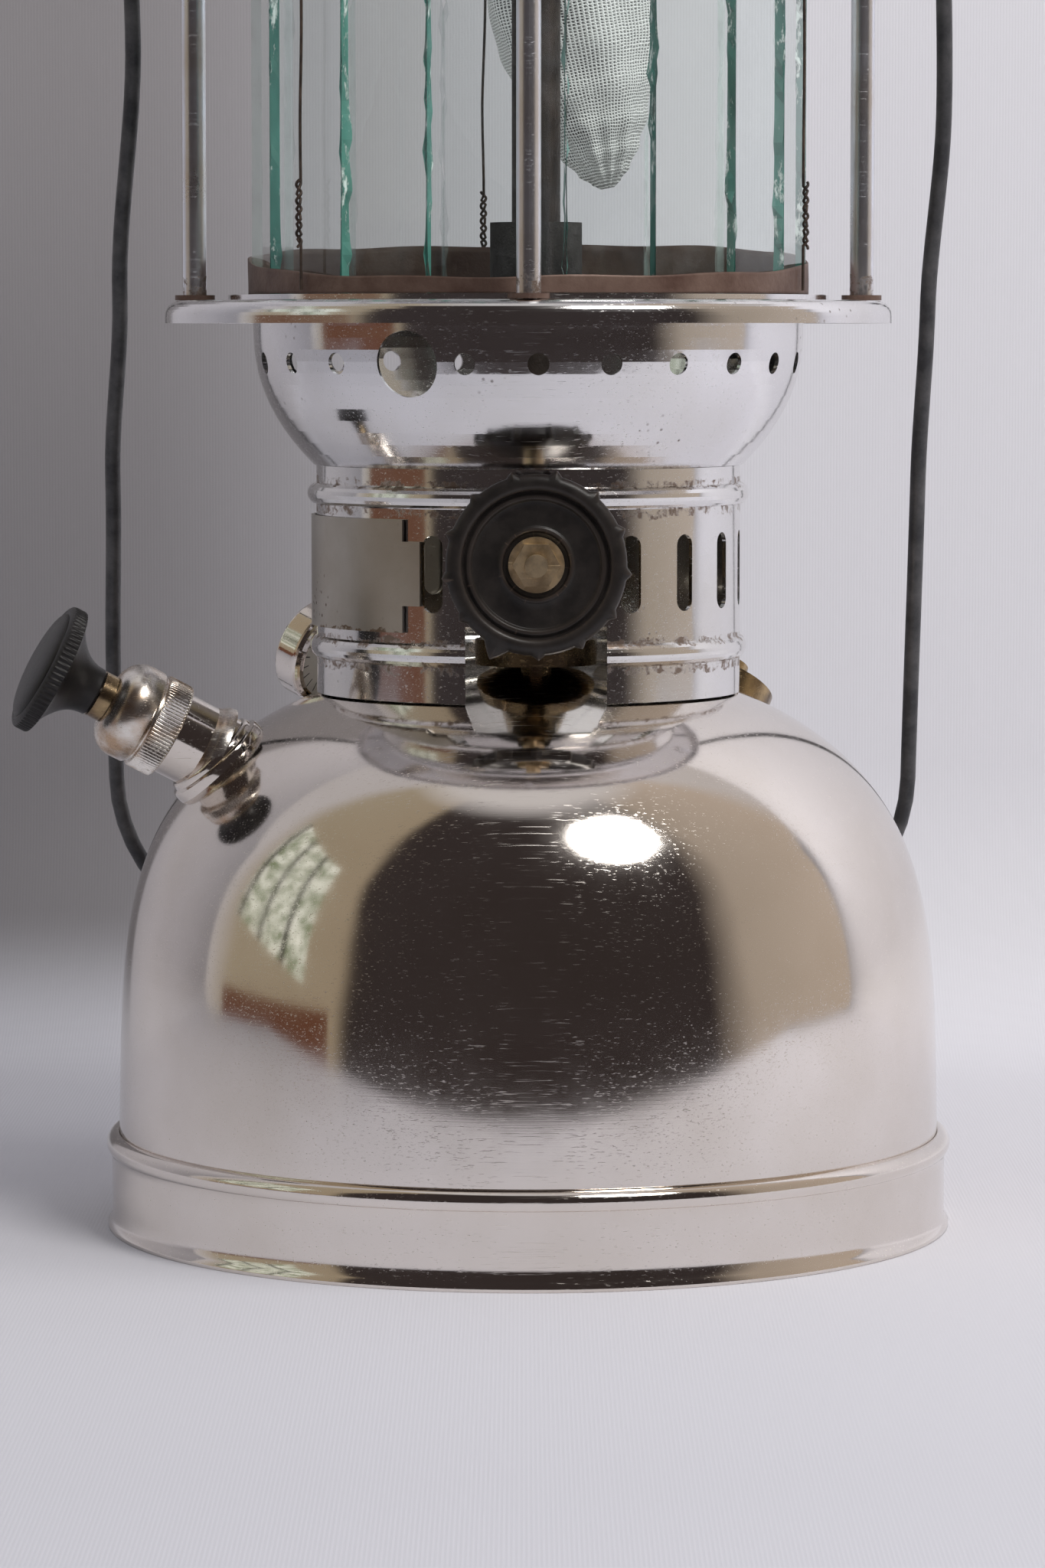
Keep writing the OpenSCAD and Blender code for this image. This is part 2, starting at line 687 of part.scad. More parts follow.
// Gauge case with its bezel
gauge_wall = 0.9;
module gauge_case() {
    color("silver") on_gauge() translate([0, 0, -gauge_depth / 2]) difference() {
        rotate_extrude()
            polygon(concat([[0, 0]], arc(gauge_r - 2, 2, 2, -90, 0, 6),
                arc(gauge_r - 0.8, gauge_depth - 0.8, 0.8, 0, 90, 6), [[0, gauge_depth]]));
        translate([0, 0, gauge_wall])
            cylinder(r = gauge_r - gauge_wall, h = gauge_depth - 2 * gauge_wall);
        cylinder(r = gauge_r - 2 * gauge_wall, h = gauge_depth + 1);
    }
}

// Dial with the needle's pin
dial_z = -gauge_depth / 2 + 2.2;
module gauge_dial() {
    color("white") on_gauge() {
        translate([0, 0, -gauge_depth / 2]) difference() {
            cylinder(r = gauge_r - gauge_wall - seat_gap, h = dial_z + gauge_depth / 2);
            translate([0, 0, -1]) cylinder(r = gauge_r, h = 1 + gauge_wall + seat_gap);
        }
        translate([0, 0, dial_z - 0.2]) cylinder(r = 0.5, h = 1.6, $fn = 24);
    }
}

module gauge_needle() {
    color("black") on_gauge() translate([0, 0, dial_z + 0.3]) difference() {
        union() {
            cylinder(r = 1.3, h = 0.9);
            linear_extrude(0.5) polygon([[-1, -0.7], [-1, 0.7], [0.75 * gauge_r - 1, 0.1],
                [0.75 * gauge_r - 1, -0.1]]);
        }
        translate([0, 0, -1]) cylinder(r = 0.5 + run_gap, h = 3, $fn = 24);
    }
}

module gauge_glass() {
    color("lightcyan", 0.4) on_gauge()
        translate([0, 0, gauge_depth / 2 - gauge_wall - seat_gap - 1])
            cylinder(r = gauge_r - gauge_wall - seat_gap, h = 1);
}

// Filler neck: soldered into the dome, open into the tank
module filler_neck() {
    color("goldenrod") on_dome(filler_at_r, filler_azimuth) translate([0, 0, -4])
        tube(filler_bore_r + filler_wall, 4 + filler_cap_h - 2, filler_wall);
}

// Filler cap over the neck, bored for the air screw
module filler_cap() {
    inner = filler_bore_r + filler_wall + run_gap;
    color("goldenrod") on_dome(filler_at_r, filler_azimuth) difference() {
        translate([0, 0, 1.2]) cylinder(r = filler_cap_r, h = filler_cap_h - 0.2);
        translate([0, 0, -5]) cylinder(r = inner, h = 5 + filler_cap_h - 2 + seat_gap);
        translate([0, 0, -1]) cylinder(r = air_screw_r + run_gap, h = 20);
    }
}

// Air-release screw with its round head
module air_screw() {
    color("goldenrod") on_dome(filler_at_r, filler_azimuth) {
        translate([0, 0, filler_cap_h - 3]) cylinder(r = air_screw_r, h = 5);
        translate([0, 0, filler_cap_h + 1 + free_gap]) cylinder(r = air_head_r, h = air_head_h);
    }
}

// Riser tube with its strainer foot, from the tank's floor to the valve
strainer_z = bottom_z + bottom_rise + tank_wall + 2;
module riser_tube() {
    color("goldenrod") on_burner(strainer_z) difference() {
        union() {
            cylinder(r = riser_r, h = valve_z + 2 - strainer_z);
            cylinder(r = strainer_r, h = strainer_h);
        }
        translate([0, 0, 3]) cylinder(r = riser_bore_r, h = valve_z - strainer_z);
        translate([0, 0, -1]) cylinder(r = riser_bore_r / 2, h = strainer_h);
    }
}

// Valve body: cavity for the eccentric, side port for the spindle
port_r = 6;
port_reach = 12;
module valve_body() {
    color("goldenrod") difference() {
        union() {
            on_burner(valve_z) cylinder(r = valve_base_r, h = valve_base_h);
            on_burner(valve_z) cylinder(r = valve_r, h = valve_base_h + valve_h);
            on_spindle(burner_y) cylinder(r = port_r, h = port_reach);
        }
        on_burner(valve_z - 1) cylinder(r = riser_r + seat_gap, h = 3.1);
        on_burner(valve_z - 1) cylinder(r = riser_bore_r, h = 10);
        on_burner(valve_z + valve_base_h + 2) cylinder(r = cavity_r, h = valve_h);
        on_spindle(burner_y) cylinder(r = spindle_r + run_gap, h = port_reach + 1);
    }
}

// Gland nut round the spindle
gland_t = 5;
module gland_nut() {
    color("goldenrod") on_spindle(burner_y + port_reach + seat_gap) difference() {
        cylinder(r = 7, h = gland_t, $fn = 6);
        translate([0, 0, -1]) cylinder(r = spindle_r + run_gap, h = gland_t + 2);
    }
}

// Control spindle with its eccentric pin and its threaded stud
spindle_end = burner_y + cavity_r + 0.3;
module control_spindle() {
    color("silver") {
        on_spindle(spindle_end) cylinder(r = spindle_r, h = wheel_at - spindle_end);
        on_spindle(wheel_at - 0.5) cylinder(r = stud_r, h = wheel_web_t + nut_t + 3);
        on_spindle(burner_y - 2) translate([0, -eccentric, 0])
            cylinder(r = pin_r, h = cavity_r + 2.5);
    }
}

// One tooth on the rim, pointing outwards
module tooth(turn, h, half) {
    rotate(turn) linear_extrude(wheel_rim_t - 0.6) polygon([[wheel_r - 1, -half],
        [wheel_r - 0.2, -half], [wheel_r + h, 0], [wheel_r - 0.2, half], [wheel_r - 1, half]]);
}

// Control wheel: moulded rim with small teeth and one long pointer tooth
module control_wheel() {
    step = 360 / tooth_count;
    color("#202020") on_spindle(wheel_at + seat_gap) difference() {
        union() {
            rotate_extrude()
                polygon([[0, 0], [7, 0], [8, 0.8], [wheel_r - 4, 0.8], [wheel_r - 3.4, 0],
                    [wheel_r - 0.6, 0], [wheel_r, 0.6], [wheel_r, wheel_rim_t - 1.2],
                    [wheel_r - 0.8, wheel_rim_t - 0.2], [wheel_r - 1.9, wheel_rim_t],
                    [wheel_r - 2.9, wheel_rim_t - 0.3], [wheel_r - 3.4, wheel_web_t],
                    [7, wheel_web_t], [6.2, wheel_web_t - 0.7], [0, wheel_web_t - 0.7]]);
            for (i = [1:tooth_count - 1]) tooth(pointer_turn + i * step, tooth_h, 1.2);
            tooth(pointer_turn, pointer_h, 2.6);
        }
        translate([0, 0, -1]) cylinder(r = stud_r + seat_gap / 2, h = wheel_rim_t + 2);
    }
}

// Hexagonal nut on the spindle's stud
module wheel_nut() {
    color("goldenrod") on_spindle(wheel_at + 2 * seat_gap + wheel_web_t - 0.7) difference() {
        union() {
            cylinder(r = 5.4, h = 0.7);
            cylinder(d = nut_flats / cos(30), h = nut_t, $fn = 6);
        }
        translate([0, 0, -1]) cylinder(r = stud_r + seat_gap / 2, h = nut_t + 2);
    }
}

// Pricker rod: slotted yoke round the pin, long rod and fine needle
needle_r = 0.25;
jet_spigot = 8;
module pricker_rod() {
    yoke_z = spindle_z - eccentric;
    slot_half = pin_r + free_gap;
    rod_top_z = jet_z - jet_spigot + 0.5;
    color("silver") {
        on_burner(yoke_z) difference() {
            union() {
                translate([-yoke_w / 2, -yoke_t / 2, -yoke_h / 2]) cube([yoke_w, yoke_t, yoke_h]);
                cylinder(r = pricker_r, h = rod_top_z - yoke_z);
            }
            translate([-eccentric - slot_half, -3, -slot_half])
                cube([2 * (eccentric + slot_half), 6, 2 * slot_half]);
        }
        on_burner(rod_top_z - 0.2) cylinder(r = needle_r, h = jet_spigot - 1, $fn = 16);
    }
}

// Vaporizer tube with the shoulder that carries the preheating cup
cup_z = seat_z + seat_t + 1;
module vaporizer_tube() {
    z = valve_top_z + seat_gap;
    color("#3a2a20") difference() {
        union() {
            on_burner(z) cylinder(r = vaporizer_r, h = jet_z - z);
            on_burner(z) cylinder(r = union_r, h = union_h, $fn = 6);
            on_burner(cup_z - 2 - seat_gap) cylinder(r = 6.2, h = 2);
        }
        on_burner(z - 1) cylinder(r = vaporizer_r - vaporizer_wall, h = jet_z - z + 2);
    }
}

// Jet at the vaporizer's end
module jet() {
    inner = vaporizer_r - vaporizer_wall;
    color("goldenrod") on_burner(jet_z) difference() {
        union() {
            translate([0, 0, -jet_spigot]) cylinder(r = inner - seat_gap, h = jet_spigot + 1);
            translate([0, 0, seat_gap]) cylinder(r = vaporizer_r, h = 2.4, $fn = 6);
            translate([0, 0, 2.4]) cylinder(r1 = 3, r2 = 1.2, h = 2);
        }
        translate([0, 0, -jet_spigot - 1]) cylinder(r = pricker_r + free_gap, h = jet_spigot + 3);
        translate([0, 0, -1]) cylinder(r = needle_r + free_gap / 2, h = 8, $fn = 24);
    }
}

// Preheating cup round the vaporizer
module preheat_cup() {
    color("#1c1714") on_burner(cup_z) difference() {
        cylinder(r = cup_r, h = cup_h);
        translate([0, 0, 0.8]) cylinder(r = cup_r - 0.8, h = cup_h);
        translate([0, 0, -1]) cylinder(r = vaporizer_r + seat_gap, h = 3);
    }
}

// Collar: beaded cylinder with upright slots and the front cut-out
module collar() {
    step = 360 / slot_count;
    bead_top = collar_h - top_band_h - top_bead_h;
    color("silver") translate([0, 0, collar_z]) difference() {
        rotate_extrude($fn = 128)
            polygon(wall(concat([[collar_r, 0]],
                bead(collar_r, low_bead_at, low_bead_h, low_bead_out),
                bead(collar_r, bead_top, top_bead_h, top_bead_out),
                [[collar_r, collar_h]]), collar_wall));
        for (i = [0:slot_count - 3])
            rotate(slot_first - 90 + i * step) translate([0, 0, slot_at])
                slot_cut(slot_w, slot_h, collar_r);
        translate([cutout_x - cutout_w / 2, -collar_r - 5, -1])
            cube([cutout_w, collar_r, cutout_h + 1]);
        translate([burner_x - spindle_slot_w / 2, -collar_r - 5, 0])
            cube([spindle_slot_w, collar_r, spindle_at]);
        translate([burner_x, 0, spindle_at]) rotate([90, 0, 0])
            cylinder(d = spindle_slot_w, h = collar_r + 5);
    }
}

// Cover band: springs round the collar between its beads
module cover_band() {
    r = collar_r + free_gap;
    room = collar_h - top_band_h - top_bead_h - low_bead_at - low_bead_h;
    z = collar_z + low_bead_at + low_bead_h + (room - band_h) / 2;
    color("#8a8378") difference() {
        translate([0, 0, z]) rotate(-90 - band_edge + tab_wrap)
            rotate_extrude(angle = -band_wrap - tab_wrap, $fn = 128)
                translate([r, 0]) square([band_wall, band_h]);
        for (side = [0, 1]) translate([0, 0, z - 1 + side * (band_h + 1
            - (band_h - tab_h) / 2 + 0.5)]) rotate(-90 - band_edge)
            translate([0, -1, 0]) cube([2 * r, 20, (band_h - tab_h) / 2 + 1.5]);
    }
}

// Gallery: bowl, flange and rounded lip in one pressed sheet
module gallery() {
    step = 360 / air_hole_count;
    hole_z = bowl_z + bowl_h - air_hole_drop;
    top = bowl_h + bowl_fillet;
    lip_round = 2.2;
    inner_lip = flange_r - gallery_wall;
    color("silver") difference() {
        translate([0, 0, bowl_z]) rotate_extrude($fn = 128)
            polygon(sheet(concat(
                [for (i = [0:12]) let (u = i / 12)
                    [bowl_foot_r + (bowl_r - bowl_foot_r) * (1 - pow(1 - u, bowl_power)),
                    bowl_h * u]],
                arc(bowl_r + bowl_fillet, bowl_h, bowl_fillet, 172, 90, 8),
                arc(inner_lip - lip_round, top - lip_round, lip_round, 90, 0, 8),
                [[inner_lip, top + gallery_wall - lip_h]]), gallery_wall));
        for (i = [0:air_hole_count - 1]) if (i != air_hole_count - 2)
            translate([0, 0, hole_z]) rotate(i * step - 88) hole_cut(air_hole_r, bowl_r);
        translate([0, 0, hole_z]) rotate(-90 - light_hole_turn) hole_cut(light_hole_r, bowl_r);
        for (turn = [0:90:270]) rotate(turn) translate([rod_circle_r, 0, flange_z - 5])
            cylinder(r = cage_rod_r + run_gap, h = 10);
    }
}

// Flat ring that carries the globe on the gallery
module globe_seat() {
    color("silver") translate([0, 0, seat_z])
        tube(globe_r + globe_band_wall + 4, seat_t, 14);
}

// Four rods between the gallery and the top ring
rod_foot = 2.6;
module cage_rods() {
    color("silver") for (turn = [0:90:270]) rotate(turn)
        translate([rod_circle_r, 0, flange_z - gallery_wall - rod_foot])
            cylinder(r = cage_rod_r, h = cage_h + gallery_wall + rod_foot + ring_wall + 2.6);
}

module rod_washers() {
    color("sienna") for (turn = [0:90:270]) rotate(turn)
        translate([rod_circle_r, 0, flange_z + seat_gap]) difference() {
            cylinder(r = washer_r, h = washer_t);
            translate([0, 0, -1]) cylinder(r = cage_rod_r + run_gap, h = washer_t + 2);
        }
}

// Small hexagonal nuts on the rods' ends, under the flange and over the top ring
module rod_nuts() {
    color("silver") for (turn = [0:90:270], z = [flange_z - gallery_wall - rod_nut_h - seat_gap,
        ring_top_z + seat_gap]) rotate(turn) translate([rod_circle_r, 0, z]) difference() {
            rotate(30) cylinder(d = rod_nut_flats / cos(30), h = rod_nut_h, $fn = 6);
            translate([0, 0, -1]) cylinder(r = cage_rod_r + run_gap, h = rod_nut_h + 2);
        }
}

// Top ring: flat ring with a turned-down edge that takes the pivot studs
module top_ring() {
    edge_h = 9;
    color("silver") difference() {
        union() {
            translate([0, 0, ring_z]) tube(top_ring_r, ring_wall, top_ring_r - top_open_r);
            translate([0, 0, ring_top_z - edge_h]) tube(top_ring_r, edge_h, ring_wall);
        }
        for (turn = [0:90:270]) rotate(turn) translate([rod_circle_r, 0, ring_z - 1])
            cylinder(r = cage_rod_r + run_gap, h = ring_wall + 2);
        translate([-top_ring_r - 5, 0, pivot_z]) rotate([0, 90, 0])
            cylinder(r = pivot_r + run_gap, h = 2 * top_ring_r + 10);
    }
}

// Lower globe band, its top edge cut on a slant
module lower_globe_band() {
    color("#5a3526") difference() {
        translate([0, 0, seat_z + seat_t + seat_gap])
            tube(globe_r + seat_gap + globe_band_wall, lower_band_h + band_slant, globe_band_wall);
        translate([0, 0, seat_z + seat_t + lower_band_h])
            rotate([atan(band_slant / globe_r), 0, 0])
                translate([-2 * globe_r, -2 * globe_r, 0])
                    cube([4 * globe_r, 4 * globe_r, 4 * band_slant + 10]);
    }
}

module upper_globe_band() {
    color("silver") translate([0, 0, ring_z - free_gap - upper_band_h])
        tube(globe_r + seat_gap + globe_band_wall, upper_band_h, globe_band_wall);
}

// Directions of the joints between the glass strips, right of the front
strip_edges = [-65.8, -40.5, -20.5, 7.4, 25.9, 46, 64.3, 88, 110, 133, 153, 177, 199, 222, 244,
    268, 294.2];
function rim(r, turn) = [r * sin(turn), -r * cos(turn)];

// Globe: separate flat strips of glass, stood edge to edge in a ring
module glass_strips() {
    half_gap = strip_gap / 2 / globe_r * 180 / PI;
    color("lightcyan", 0.3) translate([0, 0, glass_z]) linear_extrude(glass_h)
        for (i = [0:len(strip_edges) - 2]) {
            a = rim(globe_r, strip_edges[i] + half_gap);
            b = rim(globe_r, strip_edges[i + 1] - half_gap);
            in_a = rim(globe_r - glass_t / cos((strip_edges[i + 1] - strip_edges[i]) / 2),
                strip_edges[i] + half_gap);
            in_b = rim(globe_r - glass_t / cos((strip_edges[i + 1] - strip_edges[i]) / 2),
                strip_edges[i + 1] - half_gap);
            polygon([a, b, in_b, in_a]);
        }
}

// Tie wires outside the globe, each with a twisted knot low down
tie_turns = [-50.6, 71.8, 189.4];
module tie_wires() {
    r = globe_r + seat_gap + globe_band_wall + free_gap + tie_r;
    z = seat_z + seat_t + 0.5;
    color("#2c2420") for (turn = tie_turns) {
        translate([r * sin(turn), -r * cos(turn), z])
            cylinder(r = tie_r, h = ring_z - free_gap - z, $fn = 16);
        translate([(r + tie_r) * sin(turn), -(r + tie_r) * cos(turn), z + lower_band_h + 3])
            cylinder(r = tie_knot_r, h = tie_knot_h, $fn = 16);
    }
}

// Mantle: soft sock tied to the nozzle, drawn in to a tip that leans to the right
module mantle() {
    top_z = nozzle_top_z - nozzle_h + 5;
    color("ivory") difference() {
        translate([burner_x, 0, top_z]) rotate([0, 180 - mantle_lean, 0]) rotate_extrude($fn = 32)
            polygon([[0, 0], [nozzle_r + 1.6, 0], [nozzle_r + 2.4, 0.06 * mantle_h],
                [0.9 * mantle_r, 0.22 * mantle_h], [mantle_r, 0.42 * mantle_h],
                [0.96 * mantle_r, 0.58 * mantle_h], [0.78 * mantle_r, 0.76 * mantle_h],
                [0.45 * mantle_r, 0.92 * mantle_h], [0.12 * mantle_r, mantle_h], [0, mantle_h]]);
        translate([burner_x, 0, top_z - 8]) cylinder(r = nozzle_r + free_gap, h = 20);
    }
}

// Ceramic nozzle under the gas chamber, grooved for the mantle's string
module ceramic_nozzle() {
    color("linen") translate([burner_x, 0, nozzle_top_z - seat_gap - nozzle_h]) rotate_extrude()
        polygon([[nozzle_r - 3, 0], [nozzle_r - 0.5, 0], [nozzle_r, 0.5], [nozzle_r, 3.6],
            [nozzle_r - 0.7, 4.2], [nozzle_r - 0.7, 5.4], [nozzle_r, 6], [nozzle_r, nozzle_h],
            [nozzle_r - 3, nozzle_h]]);
}

// Gas chamber: flanged cup that hangs in the casing's floor
module gas_chamber() {
    flange_t = 1.2;
    color("#6b5a48") translate([burner_x, 0, nozzle_top_z]) difference() {
        union() {
            cylinder(r = chamber_r, h = casing_z + casing_wall - nozzle_top_z + seat_gap + 1);
            translate([0, 0, casing_z + casing_wall - nozzle_top_z + seat_gap])
                cylinder(r = chamber_r + 2, h = flange_t);
        }
        translate([0, 0, -1]) cylinder(r = nozzle_r - 3, h = 40);
        translate([0, 0, 1.5])
            cylinder(r = chamber_r - 1.5, h = casing_z - nozzle_top_z);
    }
}

// Mixing tube: mouth over the jet, half turn, and down to the gas chamber
mixing_z = casing_z + casing_wall + 2 * seat_gap + 1.2;
module mixing_tube() {
    color("#6b5a48") {
        translate([burner_x, 0, mixing_z]) tube(mixing_r, mixing_leg, mixing_wall);
        on_burner(mixing_z) tube(mixing_r, mixing_leg, mixing_wall);
        translate([burner_x, -burner_y / 2, mixing_z + mixing_leg]) rotate([0, 0, 90])
            rotate([90, 0, 0]) rotate_extrude(angle = 180) translate([burner_y / 2, 0])
                difference() {
                    circle(r = mixing_r);
                    circle(r = mixing_r - mixing_wall);
                }
    }
}

// Inner casing: chimney that hangs by its flange from the top ring
module inner_casing() {
    h = casing_top_z - casing_z;
    color("silver") difference() {
        union() {
            translate([0, 0, casing_z]) tube(casing_r, h, casing_wall);
            translate([0, 0, casing_z]) cylinder(r = casing_r, h = casing_wall);
            translate([0, 0, ring_top_z + seat_gap])
                tube(casing_r + casing_flange_w, casing_flange_t, casing_flange_w + 0.5);
        }
        translate([burner_x, 0, casing_z - 1]) cylinder(r = chamber_r + seat_gap, h = 3);
        on_burner(casing_z - 1) cylinder(r = vaporizer_r + 2, h = 3);
        for (turn = [15:30:345]) translate([0, 0, ring_top_z + casing_hole_at]) rotate(turn)
            hole_cut(casing_hole_r, casing_r);
    }
}

// Bridge over the casing's rim, with the stud for the hood nut
module stud_bridge() {
    color("silver") {
        translate([0, 0, casing_top_z + seat_gap]) intersection() {
            cylinder(r = casing_r, h = bridge_t - seat_gap);
            translate([-casing_r, -bridge_w / 2, 0]) cube([2 * casing_r, bridge_w, bridge_t]);
        }
        translate([0, 0, bridge_top_z - 0.4])
            cylinder(r = hood_stud_r, h = crown_z + crown_h + hood_nut_h - bridge_top_z - 1);
    }
}

// Hood: rim, sloping shoulder, slotted chimney wall and rounded top
module hood() {
    step = 360 / hood_slots;
    shoulder_z = hood_z + hood_rim_h;
    color("silver") difference() {
        rotate_extrude($fn = 128)
            polygon(sheet(concat([[hood_r, hood_z], [hood_r, shoulder_z - 2]],
                arc(hood_r - 5, shoulder_z - 2, 5, 8, 56, 5),
                [for (i = [1:6]) let (u = i / 6)
                    [hood_r - 3 - (hood_r - 3 - chimney_r) * u,
                    shoulder_z + 2.6 + (shoulder_h - 2.6) * pow(u, 1.5)]],
                [[chimney_r, crown_z - chimney_h + 2], [chimney_r, crown_z]],
                [for (i = [1:16]) let (r = chimney_r * cos(90 * i / 16))
                    [r, crown_z + crown_rise(r)]]), hood_wall));
        for (i = [0:hood_slots - 1]) rotate(i * step)
            translate([0, 0, crown_z - chimney_h / 2 + 1])
                slot_cut(5, chimney_h - 9, chimney_r);
        cylinder(r = hood_stud_r + free_gap, h = crown_z + 2 * crown_h);
    }
}

// Hood nut: turned knob with a knurled edge
module hood_nut() {
    color("goldenrod") translate([0, 0, crown_z + crown_h + seat_gap]) difference() {
        rotate_extrude()
            polygon([[0, 0], [hood_nut_r - 2, 0], [hood_nut_r - 2, 1.5], [hood_nut_r, 2.2],
                [hood_nut_r, hood_nut_h - 1.5], [hood_nut_r - 1.2, hood_nut_h - 0.3],
                [hood_stud_r + 2, hood_nut_h], [0, hood_nut_h]]);
        translate([0, 0, -1]) cylinder(r = hood_stud_r + run_gap, h = hood_nut_h + 2);
    }
}

// Headed studs through the top ring that carry the bail
module pivot_studs() {
    inner = top_ring_r - ring_wall;
    head_t = 1.6;
    color("silver") for (side = [0, 1]) mirror([side, 0, 0]) {
        leg_x = side == 0 ? right_leg_x : left_leg_x;
        head_x = leg_x + wire_r + free_gap;
        translate([inner - 2, 0, pivot_z]) rotate([0, 90, 0]) {
            cylinder(r = pivot_r, h = head_x - inner + 2 + head_t / 2);
            cylinder(r = pivot_r + 1.4, h = 2 - seat_gap);
        }
        translate([head_x, 0, pivot_z]) rotate([0, 90, 0]) cylinder(r = pivot_r + 2.2, h = head_t);
        translate([top_ring_r + seat_gap, 0, pivot_z]) rotate([0, 90, 0])
            cylinder(r = pivot_r + 1.4, h = leg_x - wire_r - free_gap - top_ring_r - seat_gap);
    }
}

// Bail: one bent wire with an eye at each end
module bail() {
    eye = pivot_r + run_gap + wire_r;
    eye_flat = 0.2;
    low = -bail_reach + corner_r;
    color("#4a4a4c") translate([0, 0, pivot_z]) rotate([bail_lean, 0, 0]) {
        for (x = [-left_leg_x, right_leg_x]) translate([x, 0, 0]) rotate([0, 90, 0])
            rotate_extrude() translate([eye - eye_flat, 0]) circle(r = wire_r - eye_flat, $fn = 24);
        for (x = [-left_leg_x, right_leg_x]) translate([x, 0, low])
            cylinder(r = wire_r, h = -eye - low, $fn = 24);
        translate([-left_leg_x + corner_r, 0, -bail_reach]) rotate([0, 90, 0])
            cylinder(r = wire_r, h = left_leg_x + right_leg_x - 2 * corner_r, $fn = 24);
        translate([-left_leg_x + corner_r, 0, low]) rotate([90, 0, 0]) rotate(180)
            rotate_extrude(angle = 90) translate([corner_r, 0]) circle(r = wire_r, $fn = 24);
        translate([right_leg_x - corner_r, 0, low]) rotate([90, 0, 0]) rotate(270)
            rotate_extrude(angle = 90) translate([corner_r, 0]) circle(r = wire_r, $fn = 24);
    }
}

foot_ring();
tank_shell();
tank_bottom();
pump_flange();
pump_barrel();
check_valve();
pump_cap();
cap_bush();
cap_spring();
pump_rod();
pump_knob();
leather_cup();
gauge_stem();
gauge_case();
gauge_dial();
gauge_needle();
gauge_glass();
filler_neck();
filler_cap();
air_screw();
riser_tube();
valve_body();
gland_nut();
control_spindle();
control_wheel();
wheel_nut();
pricker_rod();
vaporizer_tube();
jet();
preheat_cup();
collar();
cover_band();
gallery();
globe_seat();
cage_rods();
rod_washers();
rod_nuts();
top_ring();
lower_globe_band();
upper_globe_band();
glass_strips();
tie_wires();
mantle();
ceramic_nozzle();
gas_chamber();
mixing_tube();
inner_casing();
stud_bridge();
hood();
hood_nut();
pivot_studs();
bail();
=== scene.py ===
import json
import math
import random

import bmesh
import bpy
from mathutils import Matrix, Vector

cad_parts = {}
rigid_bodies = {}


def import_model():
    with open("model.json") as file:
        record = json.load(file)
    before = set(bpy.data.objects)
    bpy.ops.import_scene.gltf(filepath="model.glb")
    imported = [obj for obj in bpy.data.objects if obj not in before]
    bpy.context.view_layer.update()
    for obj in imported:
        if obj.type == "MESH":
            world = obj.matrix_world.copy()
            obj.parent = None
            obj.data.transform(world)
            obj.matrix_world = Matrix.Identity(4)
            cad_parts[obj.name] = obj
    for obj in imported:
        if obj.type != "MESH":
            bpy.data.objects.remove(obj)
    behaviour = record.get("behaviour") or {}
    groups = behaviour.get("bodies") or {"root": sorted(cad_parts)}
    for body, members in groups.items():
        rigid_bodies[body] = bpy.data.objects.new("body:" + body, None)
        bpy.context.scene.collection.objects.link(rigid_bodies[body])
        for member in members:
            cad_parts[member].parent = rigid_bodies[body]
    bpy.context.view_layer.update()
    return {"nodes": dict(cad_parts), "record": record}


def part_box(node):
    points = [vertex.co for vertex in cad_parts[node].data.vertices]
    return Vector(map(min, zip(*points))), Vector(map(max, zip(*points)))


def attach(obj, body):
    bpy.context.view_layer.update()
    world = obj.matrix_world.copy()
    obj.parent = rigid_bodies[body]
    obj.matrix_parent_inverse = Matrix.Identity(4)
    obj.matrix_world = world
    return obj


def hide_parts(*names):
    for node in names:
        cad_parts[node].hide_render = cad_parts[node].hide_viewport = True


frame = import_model()
cad_nodes = frame["nodes"]
scene = bpy.context.scene
MM = 0.001

# -------------------------------------------- sizes in mm and degrees, the CAD's where it has them
TANK_R = 82.6
DOME_START_Z = 21.5
DOME_H = 93.0
DOME_POWER = 3.9
SIDE_DRAW = 0.02
TANK_EDGE_Z = 12.0
SHEET_T = 0.8
FOOT_R = 85.0
FOOT_BAND_R = 84.1
FOOT_BEAD_R = 2.3
FOOT_BEAD_Z = 16.9
GLASS_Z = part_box("glass_strips")[0][2] / MM
GLASS_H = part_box("glass_strips")[1][2] / MM - GLASS_Z
SEAT_TOP_Z = GLASS_Z - 0.1
GLOBE_R = 55.4
GLASS_T = 2.0
STRIP_EDGES = [-65.8, -40.5, -20.5, 7.4, 25.9, 46, 64.3, 88, 110, 133, 153, 177, 199, 222, 244,
               268, 294.2]
TIE_TURNS = [-50.6, 71.8, 189.4]
RING_Z = GLASS_Z + GLASS_H + 0.3
BAND_R = 56.1
BAND_T = 0.45
BURNER_X = 1.5
MANTLE_H = 75.4
MANTLE_LEAN = 11
MANTLE_TOP_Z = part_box("ceramic_nozzle")[0][2] / MM + 5.1
PUMP_AZIMUTH = 193
PUMP_CLIMB = 28
PUMP_FACE = (65.26, 96.333)
PUMP_SEAT = (63.5, 94.43)
PUMP_SLOPE = 42.6
PUMP_BORE_R = 8.15
TANK_BORE_R = 9.0
BORE_REACH = 12
PIVOT_Z = RING_Z - 3.8
BAIL_LEAN = 17
BAIL_WIRE_R = 1.65
BAIL_EYE_R = 3.9
BAIL_LEG = 258.0
BAIL_CORNER_R = 40.0
NET_ROWS = 124
NET_COLUMNS = 108
TIE_WIRE_R = 0.30
KNOT_H = 10.0
KNOT_TURNS = 3.2
SPINDLE_Z = (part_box("control_spindle")[0][2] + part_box("control_spindle")[1][2]) / 2 / MM
WHEEL_BACK_Y = -49.6
WHEEL_R = 17.4
WHEEL_RIM_R = 16.2
WHEEL_TEETH = 13
POINTER_TURN = 243.6
GAUGE_TURN = 140
GAUGE_TILT = 20
